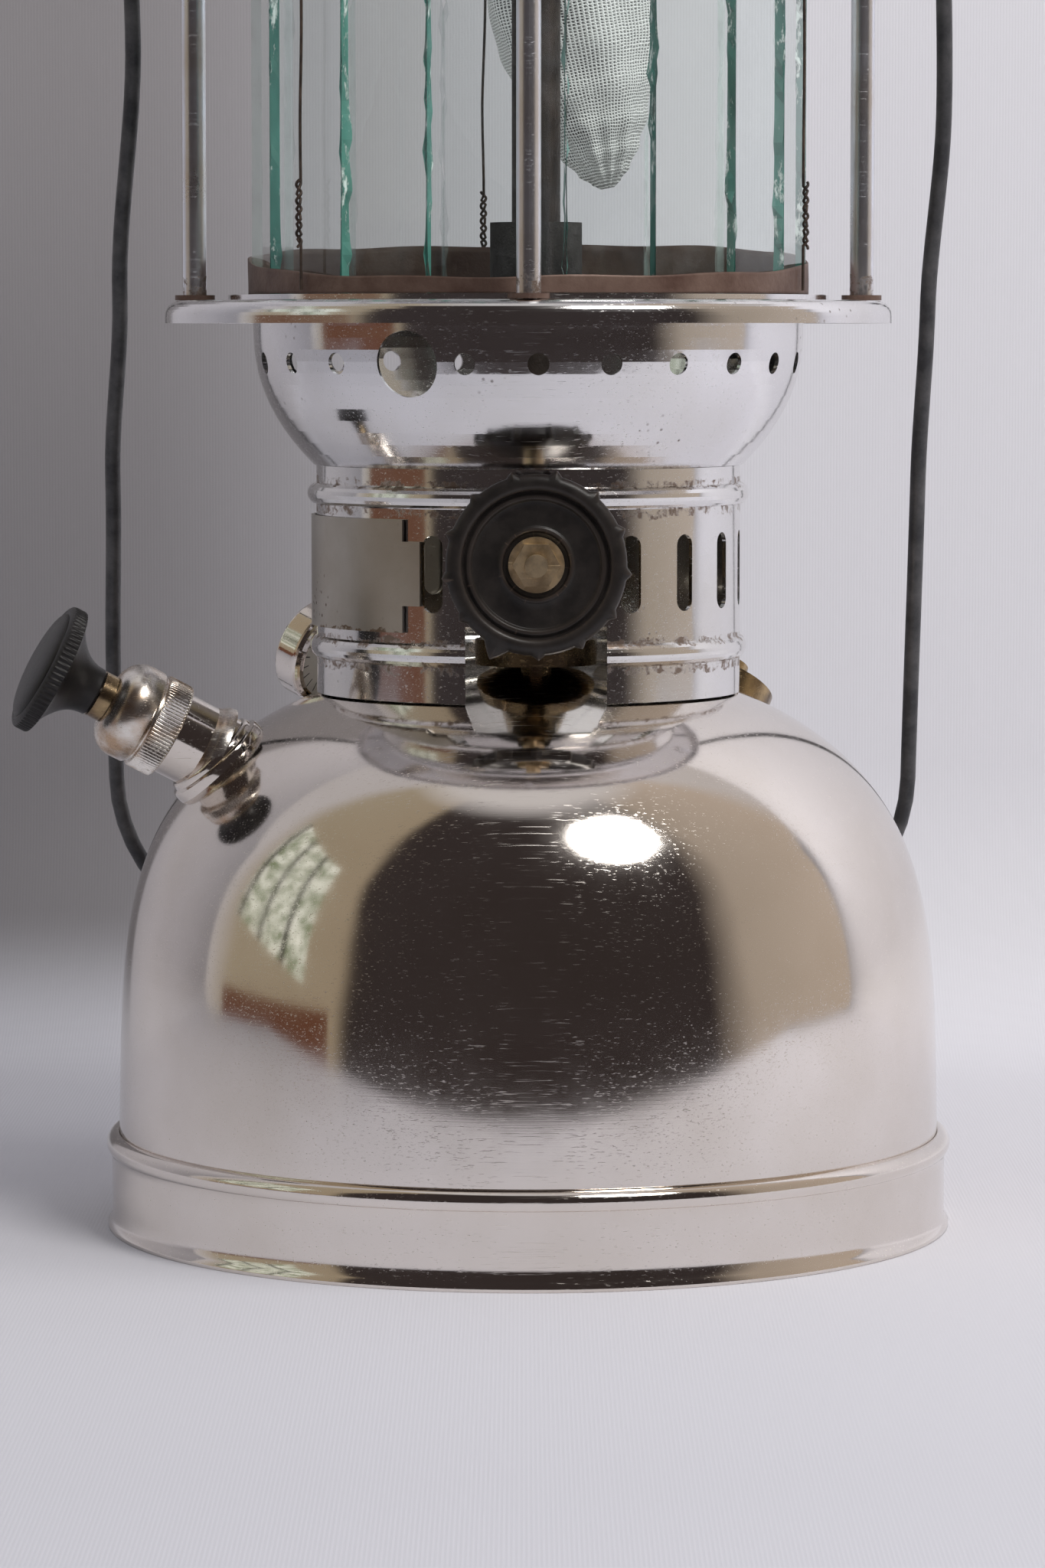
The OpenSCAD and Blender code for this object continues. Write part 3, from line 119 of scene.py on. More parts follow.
COLLAR_STAINS = ((113, 115), (118.3, 119.8), (143.6, 145.2), (149.2, 150.6))
ROD_STAINS = ((184, 190.5),)
SHEET_STAINS = ((117, 121.5),)
CAMERA_PLACE = (-1.15, -1080, 180)
CAMERA_DIP = 4.84
CAMERA_LENS = 123.4
CAMERA_SENSOR = 36
CLOTH_FRONT_Y = -395
CLOTH_BEND_Y = 205
CLOTH_BEND_R = 70

# colours, the room's bearings and rises in radians, and the scale of the scratches
PALE_LEFT = (0.50, 0.48, 0.49)
PALE_RIGHT = (0.58, 0.55, 0.55)
DARK_ZONE = (0.036, 0.028, 0.027)
WINDOW_BEARING = (-1.66, -1.15)
WINDOW_RISE = (0.24, 0.78)
CUPBOARD_BEARING = (-1.66, -1.00)
CUPBOARD_RISE = (-0.26, 0.02)
# painted shade for the left side of the backdrop cloth
WALL_PAINTED_SHADE = (0.245, 0.230, 0.232)
PIT_COLOUR = (0.10, 0.06, 0.04)
SCRATCH_SCALE = 2600.0


# ---------------------------------------------------------------- camera, stage and light
camera = bpy.data.objects.new("camera", bpy.data.cameras.new("camera"))
scene.collection.objects.link(camera)
camera.location = [c * MM for c in CAMERA_PLACE]
camera.rotation_euler = (math.radians(90 - CAMERA_DIP), 0, 0)
camera.data.lens = CAMERA_LENS
camera.data.sensor_width = CAMERA_SENSOR
scene.camera = camera
scene.view_settings.view_transform = "Standard"


def make(tree, kind, settings=None, inputs=None):
    """Adds a shader node; an input is a constant or another node's output."""
    node = tree.nodes.new(kind)
    for key, value in (settings or {}).items():
        setattr(node, key, value)
    for key, value in (inputs or {}).items():
        socket = node.inputs[key]
        if isinstance(value, bpy.types.NodeSocket):
            tree.links.new(value, socket)
        else:
            socket.default_value = value
    return node


def calc(tree, operation, a, b=0.0):
    return make(tree, "ShaderNodeMath", {"operation": operation}, {0: a, 1: b}).outputs[0]


def ramp(tree, factor, stops, smooth=False):
    node = make(tree, "ShaderNodeValToRGB", None, {"Fac": factor})
    band = node.color_ramp
    band.interpolation = "EASE" if smooth else "LINEAR"
    while len(band.elements) < len(stops):
        band.elements.new(0.5)
    for element, (place, value) in zip(band.elements, stops):
        element.position = place
        colour = value if isinstance(value, tuple) else (value, value, value)
        element.color = (*colour, 1)
    return node.outputs["Color"]


def mixed(tree, factor, a, b):
    node = make(tree, "ShaderNodeMix", {"data_type": "RGBA"})
    for index, value in ((0, factor), (6, a), (7, b)):
        socket = node.inputs[index]
        if isinstance(value, bpy.types.NodeSocket):
            tree.links.new(value, socket)
        elif index == 0:
            socket.default_value = value
        else:
            socket.default_value = (*value, 1)
    return node.outputs[2]


def noise(tree, vector, scale, detail=4.0, rough=0.55):
    inputs = {"Vector": vector, "Scale": scale, "Detail": detail, "Roughness": rough}
    return make(tree, "ShaderNodeTexNoise", None, inputs).outputs["Fac"]


def new_material(name):
    material = bpy.data.materials.new(name)
    material.use_nodes = True
    tree = material.node_tree
    return material, tree, tree.nodes["Principled BSDF"]


def link(tree, socket, target):
    tree.links.new(socket, target)


def raise_by(tree, shader, strength, distance, height):
    """Raises the surface's shading by a height pattern."""
    inputs = {"Strength": strength, "Distance": distance, "Height": height}
    bump = make(tree, "ShaderNodeBump", None, inputs)
    link(tree, bump.outputs[0], shader.inputs["Normal"])


def where(tree):
    """Place on the lantern in metres, and its x, y and z."""
    place = make(tree, "ShaderNodeTexCoord").outputs["Object"]
    return place, make(tree, "ShaderNodeSeparateXYZ", None, {0: place}).outputs


def length_of(tree, a, b):
    """Length of a vector with two parts."""
    squares = calc(tree, "ADD", calc(tree, "POWER", a, 2.0), calc(tree, "POWER", b, 2.0))
    return calc(tree, "SQRT", squares)


def turn_of(tree, axes):
    """Turn about the upright axis, from the front and positive to the right."""
    return calc(tree, "ARCTAN2", axes[0], calc(tree, "MULTIPLY", axes[1], -1.0))


def between(tree, value, low, high):
    """1 where the value lies between two limits, and 0 elsewhere."""
    above = calc(tree, "GREATER_THAN", value, low)
    return calc(tree, "MULTIPLY", above, calc(tree, "LESS_THAN", value, high))


# the room: a dark zone in front, buff walls beside it, pale cloth elsewhere
world = bpy.data.worlds.new("room")
scene.world = world
world.use_nodes = True
room = world.node_tree
way = make(room, "ShaderNodeTexCoord").outputs["Generated"]
axes = make(room, "ShaderNodeSeparateXYZ", None, {0: way}).outputs
bearing = turn_of(room, axes)
waver = noise(room, way, 1.6, 2.0)
spread = calc(room, "DIVIDE", bearing, 2 * math.pi)
spread = calc(room, "ADD", spread, 0.5)
around = calc(room, "ADD", spread, calc(room, "MULTIPLY", calc(room, "SUBTRACT", waver, 0.5), 0.03))
walls = ramp(room, around, [
    (0.0, PALE_LEFT), (0.215, PALE_LEFT), (0.24, (0.36, 0.31, 0.23)), (0.345, (0.34, 0.28, 0.20)),
    (0.357, DARK_ZONE), (0.65, DARK_ZONE), (0.685, (0.40, 0.34, 0.28)), (0.785, (0.52, 0.44, 0.37)),
    (0.81, PALE_RIGHT), (1.0, PALE_RIGHT)])
overhead = ramp(room, axes[2], [(0.0, 0.0), (0.93, 0.0), (0.975, 1.0)])
dim_top = mixed(room, overhead, walls, (0.62, 0.60, 0.60))
# a window with bars in the left wall, and a warm low cupboard under it
rise = calc(room, "ARCSINE", axes[2])
slant = calc(room, "MULTIPLY_ADD", bearing, 0.32)
slant.node.inputs[2].default_value = 0.53
pane = calc(room, "MULTIPLY", between(room, bearing, *WINDOW_BEARING),
            between(room, calc(room, "ADD", rise, slant), *WINDOW_RISE))
bars = calc(room, "FRACT", calc(room, "MULTIPLY", calc(room, "ADD", bearing, 3.0), 5.9))
bars = between(room, bars, 0.14, 0.96)
leaves = mixed(room, ramp(room, noise(room, way, 22.0, 5.0, 0.7), [(0.40, 0.0), (0.56, 1.0)]),
               (0.12, 0.17, 0.06), (0.95, 0.98, 0.90))
leaves = mixed(room, bars, (0.05, 0.045, 0.04), leaves)
dim_top = mixed(room, pane, dim_top, leaves)
cupboard = calc(room, "MULTIPLY", between(room, bearing, *CUPBOARD_BEARING),
                between(room, rise, *CUPBOARD_RISE))
dim_top = mixed(room, cupboard, dim_top, (0.13, 0.055, 0.032))
rays = make(room, "ShaderNodeLightPath").outputs
seen = mixed(room, rays["Is Camera Ray"], dim_top, (0.5, 0.49, 0.5))
glossy = make(room, "ShaderNodeBackground", None, {"Color": seen, "Strength": 1.0})
soft = make(room, "ShaderNodeBackground", None, {"Color": (0.93, 0.94, 1.0, 1), "Strength": 0.40})
sharp = calc(room, "MAXIMUM", rays["Is Glossy Ray"], rays["Is Transmission Ray"])
sharp = calc(room, "MAXIMUM", sharp, rays["Is Camera Ray"])
both = make(room, "ShaderNodeMixShader", None, {0: sharp, 1: soft.outputs[0], 2: glossy.outputs[0]})
out = [n for n in room.nodes if n.type == "OUTPUT_WORLD"][0]
link(room, both.outputs[0], out.inputs["Surface"])


def lamp(name, place, aim, size, watts, colour, in_mirrors=False):
    data = bpy.data.lights.new(name, "AREA")
    data.shape = "DISK"
    data.size = size
    data.energy = watts
    data.color = colour
    lit = bpy.data.objects.new(name, data)
    scene.collection.objects.link(lit)
    lit.location = place
    lit.rotation_euler = (Vector(aim) - Vector(place)).to_track_quat("-Z", "Y").to_euler()
    lit.visible_glossy = in_mirrors
    lit.visible_transmission = False
    lit.visible_camera = False


lamp("key", (0.385, -0.54, 0.96), (0.0, 0.0, 0.08), 0.40, 6.5, (1.0, 0.98, 0.95), True)
lamp("side", (1.1, -0.35, 0.7), (0.0, 0.1, 0.15), 0.9, 6.0, (1.0, 0.99, 0.98))
lamp("fill", (-0.9, -0.9, 0.9), (0.0, 0.0, 0.15), 1.0, 1.5, (0.95, 0.97, 1.0))


def mesh_object(name, points, faces, smooth_below=None):
    """A mesh from points in mm, smooth but for edges sharper than the angle given."""
    mesh = bpy.data.meshes.new(name)
    mesh.from_pydata([[c * MM for c in p] for p in points], [], faces)
    mesh.validate()
    made = bpy.data.objects.new(name, mesh)
    scene.collection.objects.link(made)
    if smooth_below is not None:
        for face in mesh.polygons:
            face.use_smooth = True
        mesh.set_sharp_from_angle(angle=math.radians(smooth_below))
    return made


def quarter(steps, first=1):
    """Angles of a quarter turn in equal steps, up to its end."""
    return [math.radians(90 * i / steps) for i in range(first, steps + 1)]


def cloth_sweep():
    """White cloth on the table that rises behind the lantern."""
    profile = [(CLOTH_FRONT_Y - 35, -60), (CLOTH_FRONT_Y - 17, -8), (CLOTH_FRONT_Y, 0), (60, 0),
               (CLOTH_BEND_Y, 0)]
    for a in quarter(12):
        y = CLOTH_BEND_Y + CLOTH_BEND_R * math.sin(a)
        profile.append((y, CLOTH_BEND_R - CLOTH_BEND_R * math.cos(a)))
    profile.append((CLOTH_BEND_Y + CLOTH_BEND_R, 900))
    points = []
    for x in (-1500, 1500):
        points += [(x, y, z - 0.02) for y, z in profile]
    n = len(profile)
    faces = [(i, i + n, i + n + 1, i + 1) for i in range(n - 1)]
    return mesh_object("cloth", points, faces, 60)


cloth = cloth_sweep()
material, tree, shader = new_material("white_cloth")
place, parts = where(tree)
across = calc(tree, "ADD", calc(tree, "MULTIPLY", parts[0], 2.2), 0.5)
# the cloth is painted darker on the left and lighter on the right: painted shade and painted light
# for the lamps on the right
wall_painted_shading = ramp(tree, across, [(0.0, (0.60, 0.58, 0.60)), (0.05, WALL_PAINTED_SHADE), (0.26, WALL_PAINTED_SHADE),
                                (0.66, (0.67, 0.66, 0.69)), (1.0, (0.70, 0.69, 0.72))], True)
upright = ramp(tree, calc(tree, "MULTIPLY", parts[2], 14.0), [(0.0, 0.0), (0.5, 1.0)], True)
# the floor is painted darker towards the front and lighter towards the back: painted shade
front_painted_shade = calc(tree, "MULTIPLY_ADD", parts[1], -2.0)
level = mixed(tree, front_painted_shade, (0.725, 0.715, 0.755), (0.555, 0.55, 0.59))
tone = mixed(tree, upright, level, wall_painted_shading)
folds = noise(tree, place, 5.0, 3.0)
# the fold pattern also darkens the colour a little: painted shade in the folds
tone = mixed(tree, calc(tree, "MULTIPLY", folds, 0.12), tone, (0.62, 0.61, 0.65))
link(tree, tone, shader.inputs["Base Color"])
shader.inputs["Roughness"].default_value = 0.9
shader.inputs["Specular IOR Level"].default_value = 0.2
ribs = make(tree, "ShaderNodeTexWave", None, {"Vector": place, "Scale": 420.0, "Distortion": 0.4})
bumps = calc(tree, "ADD", calc(tree, "MULTIPLY", ribs.outputs["Fac"], 0.3), folds)
raise_by(tree, shader, 0.07, 0.002, bumps)
# the cloth has no back, so the lantern is also seen from behind and from below
back = make(tree, "ShaderNodeNewGeometry").outputs["Backfacing"]
nothing = make(tree, "ShaderNodeBsdfTransparent").outputs[0]
one_sided = make(tree, "ShaderNodeMixShader", None, {0: back, 1: shader.outputs[0], 2: nothing})
link(tree, one_sided.outputs[0], tree.nodes["Material Output"].inputs["Surface"])
cloth.data.materials.append(material)


# ---------------------------------------------------------------- materials
def metal(name, colour, worn, rough, worn_share=0.5, scratch=0.05, pits=0.0, stain_heights=(),
          grain_scale=26.0, ring_share=0.13):
    """Polished or aged metal with rings of fine scratches, smudges, pits and stains."""
    material, tree, shader = new_material(name)
    place, parts = where(tree)
    radius = length_of(tree, parts[0], parts[1])
    turn = turn_of(tree, parts)
    shader.inputs["Metallic"].default_value = 1.0
    wide = noise(tree, place, grain_scale, 5.0)
    patches = ramp(tree, wide, [(0.42, 0.0), (0.42 + 0.4 * (1.2 - worn_share), 1.0)])
    tone = mixed(tree, patches, colour, worn)
    smudge = noise(tree, place, 75.0, 6.0, 0.65)
    ring_place = make(tree, "ShaderNodeCombineXYZ", None, {
        0: calc(tree, "MULTIPLY", turn, 2.0), 1: calc(tree, "MULTIPLY", radius, SCRATCH_SCALE),
        2: calc(tree, "MULTIPLY", parts[2], SCRATCH_SCALE)}).outputs[0]
    rings = noise(tree, ring_place, 1.0, 3.0, 0.6)
    fine = None
    for tilt in ((0.5, 0.9, 0.3), (1.3, 0.2, 1.1), (2.2, 1.4, 0.7), (0.1, 2.3, 2.0)):
        mapping = {"Vector": place, "Rotation": tilt, "Scale": (45.0, SCRATCH_SCALE, SCRATCH_SCALE)}
        stretched = make(tree, "ShaderNodeMapping", None, mapping).outputs[0]
        hairs = ramp(tree, noise(tree, stretched, 1.0, 2.0), [(0.66, 0.0), (0.73, 1.0)])
        fine = hairs if fine is None else calc(tree, "MAXIMUM", fine, hairs)
    shine = calc(tree, "ADD", calc(tree, "MULTIPLY", smudge, 0.14), rough - 0.05)
    shine = calc(tree, "ADD", shine, calc(tree, "MULTIPLY", fine, 0.20))
    height = calc(tree, "MULTIPLY", rings, ring_share)
    height = calc(tree, "ADD", height, calc(tree, "MULTIPLY", fine, 0.15))
    if stain_heights:
        ragged = calc(tree, "SUBTRACT", noise(tree, place, 160.0, 6.0, 0.7), 0.5)
        level = calc(tree, "ADD", parts[2], calc(tree, "MULTIPLY", ragged, 0.0045))
        stain = None
        for low, high in stain_heights:
            near = calc(tree, "COMPARE", level, (low + high) / 2 * MM)
            near.node.inputs[2].default_value = (high - low) / 2 * MM
            stain = near if stain is None else calc(tree, "MAXIMUM", stain, near)
        speckle = ramp(tree, noise(tree, place, 420.0, 5.0, 0.7), [(0.47, 0.0), (0.58, 1.0)])
        stain = calc(tree, "MULTIPLY", stain, speckle)
        tone = mixed(tree, calc(tree, "MULTIPLY", stain, 0.8), tone, (0.16, 0.09, 0.045))
        shine = calc(tree, "ADD", shine, calc(tree, "MULTIPLY", stain, 0.3))
    if pits:
        cells = make(tree, "ShaderNodeTexVoronoi", None, {"Vector": place, "Scale": 520.0})
        dots = ramp(tree, cells.outputs["Distance"], [(0.10, 1.0), (0.22, 0.0)])
        zones = ramp(tree, noise(tree, place, 34.0, 4.0, 0.7),
                     [(0.60 - 0.3 * pits, 0.0), (0.72 - 0.3 * pits, 1.0)])
        spots = calc(tree, "MULTIPLY", dots, zones)
        tone = mixed(tree, spots, tone, PIT_COLOUR)
        shine = calc(tree, "ADD", shine, calc(tree, "MULTIPLY", spots, 0.4))
        height = calc(tree, "SUBTRACT", height, calc(tree, "MULTIPLY", spots, 1.5))
    link(tree, tone, shader.inputs["Base Color"])
    link(tree, shine, shader.inputs["Roughness"])
    raise_by(tree, shader, scratch, 0.0004, height)
    return material


def coat(name, colour, other, rough, metallic, scale, bump_strength, edge=None, ior_level=0.5):
    """Paint, plastic, soot or rust: two mottled tones, grain, and worn edges."""
    material, tree, shader = new_material(name)
    place, parts = where(tree)
    shader.inputs["Metallic"].default_value = metallic
    shader.inputs["Specular IOR Level"].default_value = ior_level
    mottle = ramp(tree, noise(tree, place, scale, 7.0, 0.65), [(0.38, 0.0), (0.64, 1.0)])
    tone = mixed(tree, mottle, colour, other)
    if edge:
        wear = make(tree, "ShaderNodeNewGeometry").outputs["Pointiness"]
        worn = ramp(tree, wear, [(0.52, 0.0), (0.60, 1.0)])
        tone = mixed(tree, worn, tone, edge)
    link(tree, tone, shader.inputs["Base Color"])
    grain = noise(tree, place, scale * 14, 4.0, 0.6)
    shine = calc(tree, "ADD", calc(tree, "MULTIPLY", grain, 0.2), rough - 0.1)
    link(tree, shine, shader.inputs["Roughness"])
    height = calc(tree, "ADD", calc(tree, "MULTIPLY", mottle, 0.5), grain)
    raise_by(tree, shader, bump_strength, 0.0003, height)
    return material


def glass_face(name):
    """Clear flat glass with a faint film of dust and smears."""
    material, tree, shader = new_material(name)
    tree.nodes.remove(shader)
    place, parts = where(tree)
    tint = {"Color": (0.972, 0.988, 0.982, 1)}
    clear = make(tree, "ShaderNodeBsdfTransparent", None, tint).outputs[0]
    gloss = {"Color": (1, 1, 1, 1), "Roughness": 0.02}
    shiny = make(tree, "ShaderNodeBsdfGlossy", None, gloss).outputs[0]
    bend = make(tree, "ShaderNodeFresnel", None, {"IOR": 1.45})
    back = make(tree, "ShaderNodeNewGeometry").outputs["Backfacing"]
    mirror = calc(tree, "MULTIPLY", bend.outputs[0], calc(tree, "SUBTRACT", 1.0, back))
    pane = make(tree, "ShaderNodeMixShader", None, {0: mirror, 1: clear, 2: shiny}).outputs[0]
    dust = make(tree, "ShaderNodeBsdfDiffuse", None, {"Color": (0.85, 0.86, 0.86, 1)}).outputs[0]
    film = ramp(tree, noise(tree, place, 42.0, 8.0, 0.75), [(0.5, 0.003), (0.80, 0.07)])
    dusty = make(tree, "ShaderNodeMixShader", None, {0: film, 1: pane, 2: dust})
    link(tree, dusty.outputs[0], tree.nodes["Material Output"].inputs["Surface"])
    return material


def glass_edge(name):
    """Cut edge of the glass: deep green, with pale chips, and painted paler in the back half."""
    material, tree, shader = new_material(name)
    place, parts = where(tree)
    mapping = {"Vector": place, "Scale": (1.0, 1.0, 0.35)}
    stretched = make(tree, "ShaderNodeMapping", None, mapping).outputs[0]
    chips = ramp(tree, noise(tree, stretched, 420.0, 6.0, 0.7), [(0.56, 0.0), (0.63, 1.0)])
    wide = noise(tree, stretched, 70.0, 4.0, 0.6)
    lively = ramp(tree, wide, [(0.35, 0.0), (0.68, 1.0)])
    green = mixed(tree, lively, (0.014, 0.105, 0.085), (0.10, 0.33, 0.27))
    tone = mixed(tree, chips, green, (0.80, 0.92, 0.87))
    # edges in the back half are painted pale green: painted light shining through them from behind
    behind = calc(tree, "GREATER_THAN", parts[1], 0.0)
    tone = mixed(tree, behind, tone, (0.60, 0.72, 0.68))
    link(tree, tone, shader.inputs["Base Color"])
    shader.inputs["Roughness"].default_value = 0.3
    cover = calc(tree, "SUBTRACT", 0.92, calc(tree, "MULTIPLY", behind, 0.62))
    link(tree, cover, shader.inputs["Alpha"])
    raise_by(tree, shader, 0.6, 0.0006, chips)
    return material


def net(name):
    """Knitted net of the mantle: small holes between white threads, brittle and matt, with a
    painted glow in the threads.
    """
    material, tree, shader = new_material(name)
    uv = make(tree, "ShaderNodeTexCoord").outputs["UV"]
    parts = make(tree, "ShaderNodeSeparateXYZ", None, {0: uv}).outputs
    ripple = calc(tree, "MULTIPLY", noise(tree, uv, 26.0, 4.0), 10.0)
    rows = calc(tree, "ADD", calc(tree, "MULTIPLY", parts[1], 2 * math.pi * NET_ROWS), ripple)
    rows = calc(tree, "SINE", rows)
    lines = calc(tree, "ADD", calc(tree, "MULTIPLY", parts[0], 2 * math.pi * NET_COLUMNS),
                 calc(tree, "MULTIPLY", rows, 0.7))
    threads = calc(tree, "MAXIMUM", rows, calc(tree, "SINE", lines))
    open_part = ramp(tree, threads, [(0.10, 1.0), (0.32, 0.0)])
    wide = noise(tree, uv, 9.0, 4.0)
    tone = mixed(tree, wide, (0.95, 0.95, 0.93), (0.86, 0.87, 0.85))
    link(tree, tone, shader.inputs["Base Color"])
    shader.inputs["Roughness"].default_value = 0.75
    shader.inputs["Sheen Weight"].default_value = 0.3
    # the threads glow although the lantern is not lit: painted light
    painted_glow = calc(tree, "MULTIPLY", threads, 0.26)
    shader.inputs["Emission Color"].default_value = (0.93, 0.96, 0.94, 1)
    link(tree, painted_glow, shader.inputs["Emission Strength"])
    cover = calc(tree, "SUBTRACT", 1.0, calc(tree, "MULTIPLY", open_part, 0.25))
    link(tree, cover, shader.inputs["Alpha"])
    raise_by(tree, shader, 0.9, 0.0006, threads)
    return material


def dial_face(name, centre, out_way):
    """White dial with a ring of plain ticks, in the dial's own plane."""
    material, tree, shader = new_material(name)
    place = make(tree, "ShaderNodeTexCoord").outputs["Object"]
    less = {"operation": "SUBTRACT"}
    away = make(tree, "ShaderNodeVectorMath", less, {0: place, 1: centre}).outputs[0]
    side = Vector((0, 0, 1)).cross(Vector(out_way)).normalized()
    up = Vector(out_way).cross(side)
    dot = {"operation": "DOT_PRODUCT"}
    u = make(tree, "ShaderNodeVectorMath", dot, {0: away, 1: tuple(side)}).outputs["Value"]
    v = make(tree, "ShaderNodeVectorMath", dot, {0: away, 1: tuple(up)}).outputs["Value"]
    turn = calc(tree, "ARCTAN2", u, v)
    far = length_of(tree, u, v)
    beat = calc(tree, "COSINE", calc(tree, "MULTIPLY", turn, 20.0))
    ticks = ramp(tree, beat, [(0.93, 0.0), (0.96, 1.0)])
    marks = calc(tree, "MULTIPLY", ticks, between(tree, far, 0.0062, 0.0082))
    paper = mixed(tree, noise(tree, place, 300.0), (0.82, 0.80, 0.74), (0.70, 0.66, 0.58))
    link(tree, mixed(tree, marks, paper, (0.02, 0.02, 0.02)), shader.inputs["Base Color"])
    shader.inputs["Roughness"].default_value = 0.6
    return material


looks = {
    "nickel": metal("nickel", (0.80, 0.745, 0.70), (0.72, 0.66, 0.60), 0.07, 0.5, 0.035),
    "chrome": metal("chrome", (0.80, 0.79, 0.80), (0.72, 0.70, 0.68), 0.105, 0.5, 0.03, 0.10),
    "collar_chrome": metal("collar_chrome", (0.79, 0.78, 0.78), (0.71, 0.69, 0.66), 0.10, 0.5, 0.04,
                           0.12, COLLAR_STAINS),
    "worn_nickel": metal("worn_nickel", (0.82, 0.78, 0.73), (0.50, 0.36, 0.25), 0.24, 0.62, 0.12,
                         0.3, grain_scale=150.0),
    "rod_chrome": metal("rod_chrome", (0.84, 0.86, 0.92), (0.72, 0.69, 0.68), 0.27, 0.6, 0.0, 0.0,
                        ROD_STAINS, grain_scale=46.0, ring_share=0.0),
    "nut_brass": metal("nut_brass", (0.88, 0.70, 0.45), (0.50, 0.38, 0.24), 0.38, 0.7, 0.10, 0.1,
                       grain_scale=260.0, ring_share=0.0),
    "steel": metal("steel", (0.42, 0.41, 0.40), (0.26, 0.22, 0.19), 0.3, 0.8, 0.2, 0.4,
                   ring_share=0.0),
    # brass: aged tones, and also painted darker: painted shade for the wheel's shadow on the valve
    # body and gland nut
    "brass": metal("brass", (0.42, 0.31, 0.17), (0.19, 0.135, 0.085), 0.22, 0.8, 0.12, 0.3,
                   grain_scale=120.0, ring_share=0.0),
    "sooty_brass": coat("sooty_brass", (0.018, 0.014, 0.012), (0.055, 0.040, 0.032), 0.55, 0.4,
                        90.0, 0.4),
    "soot": coat("soot", (0.012, 0.011, 0.011), (0.035, 0.032, 0.030), 0.85, 0.0, 120.0, 0.8),
    "rust": coat("rust", (0.072, 0.036, 0.026), (0.155, 0.100, 0.078), 0.5, 0.3, 70.0, 0.35),
    "bare_sheet": metal("bare_sheet", (0.50, 0.475, 0.43), (0.40, 0.365, 0.31), 0.33, 0.7, 0.12,
                        0.3, SHEET_STAINS),
    "plastic": coat("plastic", (0.0125, 0.0105, 0.0095), (0.022, 0.018, 0.016), 0.36, 0.0, 240.0,
                    0.08, (0.060, 0.042, 0.032), 0.30),
    "knob_plastic": coat("knob_plastic", (0.0095, 0.0085, 0.0085), (0.018, 0.016, 0.0155), 0.40,
                         0.0, 260.0, 0.12, ior_level=0.30),
    "wire": coat("wire", (0.030, 0.030, 0.032), (0.085, 0.082, 0.082), 0.42, 0.3, 130.0, 0.2),
    "dark_wire": coat("dark_wire", (0.03, 0.022, 0.018), (0.09, 0.06, 0.045), 0.5, 0.5, 300.0, 0.3),
    "black": coat("black", (0.010, 0.010, 0.010), (0.02, 0.02, 0.02), 0.45, 0.0, 200.0, 0.1),
    "leather": coat("leather", (0.16, 0.08, 0.035), (0.09, 0.045, 0.02), 0.6, 0.0, 700.0, 0.6),
    "ceramic": coat("ceramic", (0.78, 0.72, 0.63), (0.62, 0.54, 0.45), 0.8, 0.0, 220.0, 0.5),
    "glass": glass_face("glass"),
    "glass_edge": glass_edge("glass_edge"),
    "net": net("net"),
}
gauge_turn = math.radians(GAUGE_TURN)
gauge_tilt = math.radians(GAUGE_TILT)
gauge_axis = (math.cos(gauge_tilt) * math.cos(gauge_turn),
              math.cos(gauge_tilt) * math.sin(gauge_turn), math.sin(gauge_tilt))
gauge_low, gauge_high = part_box("gauge_dial")
gauge_mid = tuple((a + b) / 2 for a, b in zip(gauge_low, gauge_high))
looks["dial"] = dial_face("dial", gauge_mid, gauge_axis)

by_slot = {
    "nickel_plate": "nickel", "chrome_plate": "chrome", "worn_nickel": "worn_nickel",
    "plain_steel": "steel", "brass": "brass", "sooty_brass": "sooty_brass", "sooty_steel": "soot",
    "rusty_steel": "rust", "bare_sheet": "bare_sheet", "black_plastic": "plastic",
    "black_metal": "black", "black_wire": "wire", "dark_wire": "dark_wire", "dial_white": "dial",
    "clear_glass": "glass", "gauge_glass": "glass", "leather": "leather", "mantle_net": "net",
    "ceramic": "ceramic",
}
for part in frame["record"]["subparts"]:
    node = cad_nodes[part["node"]]
    look = looks[by_slot[part["material_slot"]]]
    if part["node"] == "collar":
        look = looks["collar_chrome"]
    if part["node"] == "cage_rods":
        look = looks["rod_chrome"]
    if part["node"] in ("wheel_nut", "control_spindle"):
        look = looks["nut_brass"]
    node.data.materials.clear()
    node.data.materials.append(look)


# ---------------------------------------------------------------- forms
def lathe(name, profile, steps, smooth_below, stand=None, ribs=None):
    """Turns a profile of (radius, z) in mm; ribs(radius, z, turn) is taken from the radius."""
    points = []
    rows = len(profile)
    for i in range(steps):
        a = 2 * math.pi * i / steps
        for r, z in profile:
            rr = r - (ribs(r, z, a) if ribs else 0)
            spot = Vector((rr * math.cos(a), rr * math.sin(a), z))
            points.append(tuple(stand @ spot if stand else spot))
    faces = []
    for i in range(steps):
        j = (i + 1) % steps
        for k in range(rows - 1):
            faces.append((i * rows + k, j * rows + k, j * rows + k + 1, i * rows + k + 1))
    return mesh_object(name, points, faces, smooth_below)


def as_sheet(piece, thickness):
    """Gives an open skin a thickness in mm, on its inner side."""
    skin = piece.modifiers.new("sheet", "SOLIDIFY")
    skin.thickness = thickness * MM
    skin.offset = -1


def stands_for(piece, body, slot_name, look, *nodes):
    """Gives a piece its body, its material and the nodes that it replaces; the slot name is not
    used.
    """
    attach(piece, body)
    if nodes:
        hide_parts(*nodes)
    if look:
        piece.data.materials.append(look)


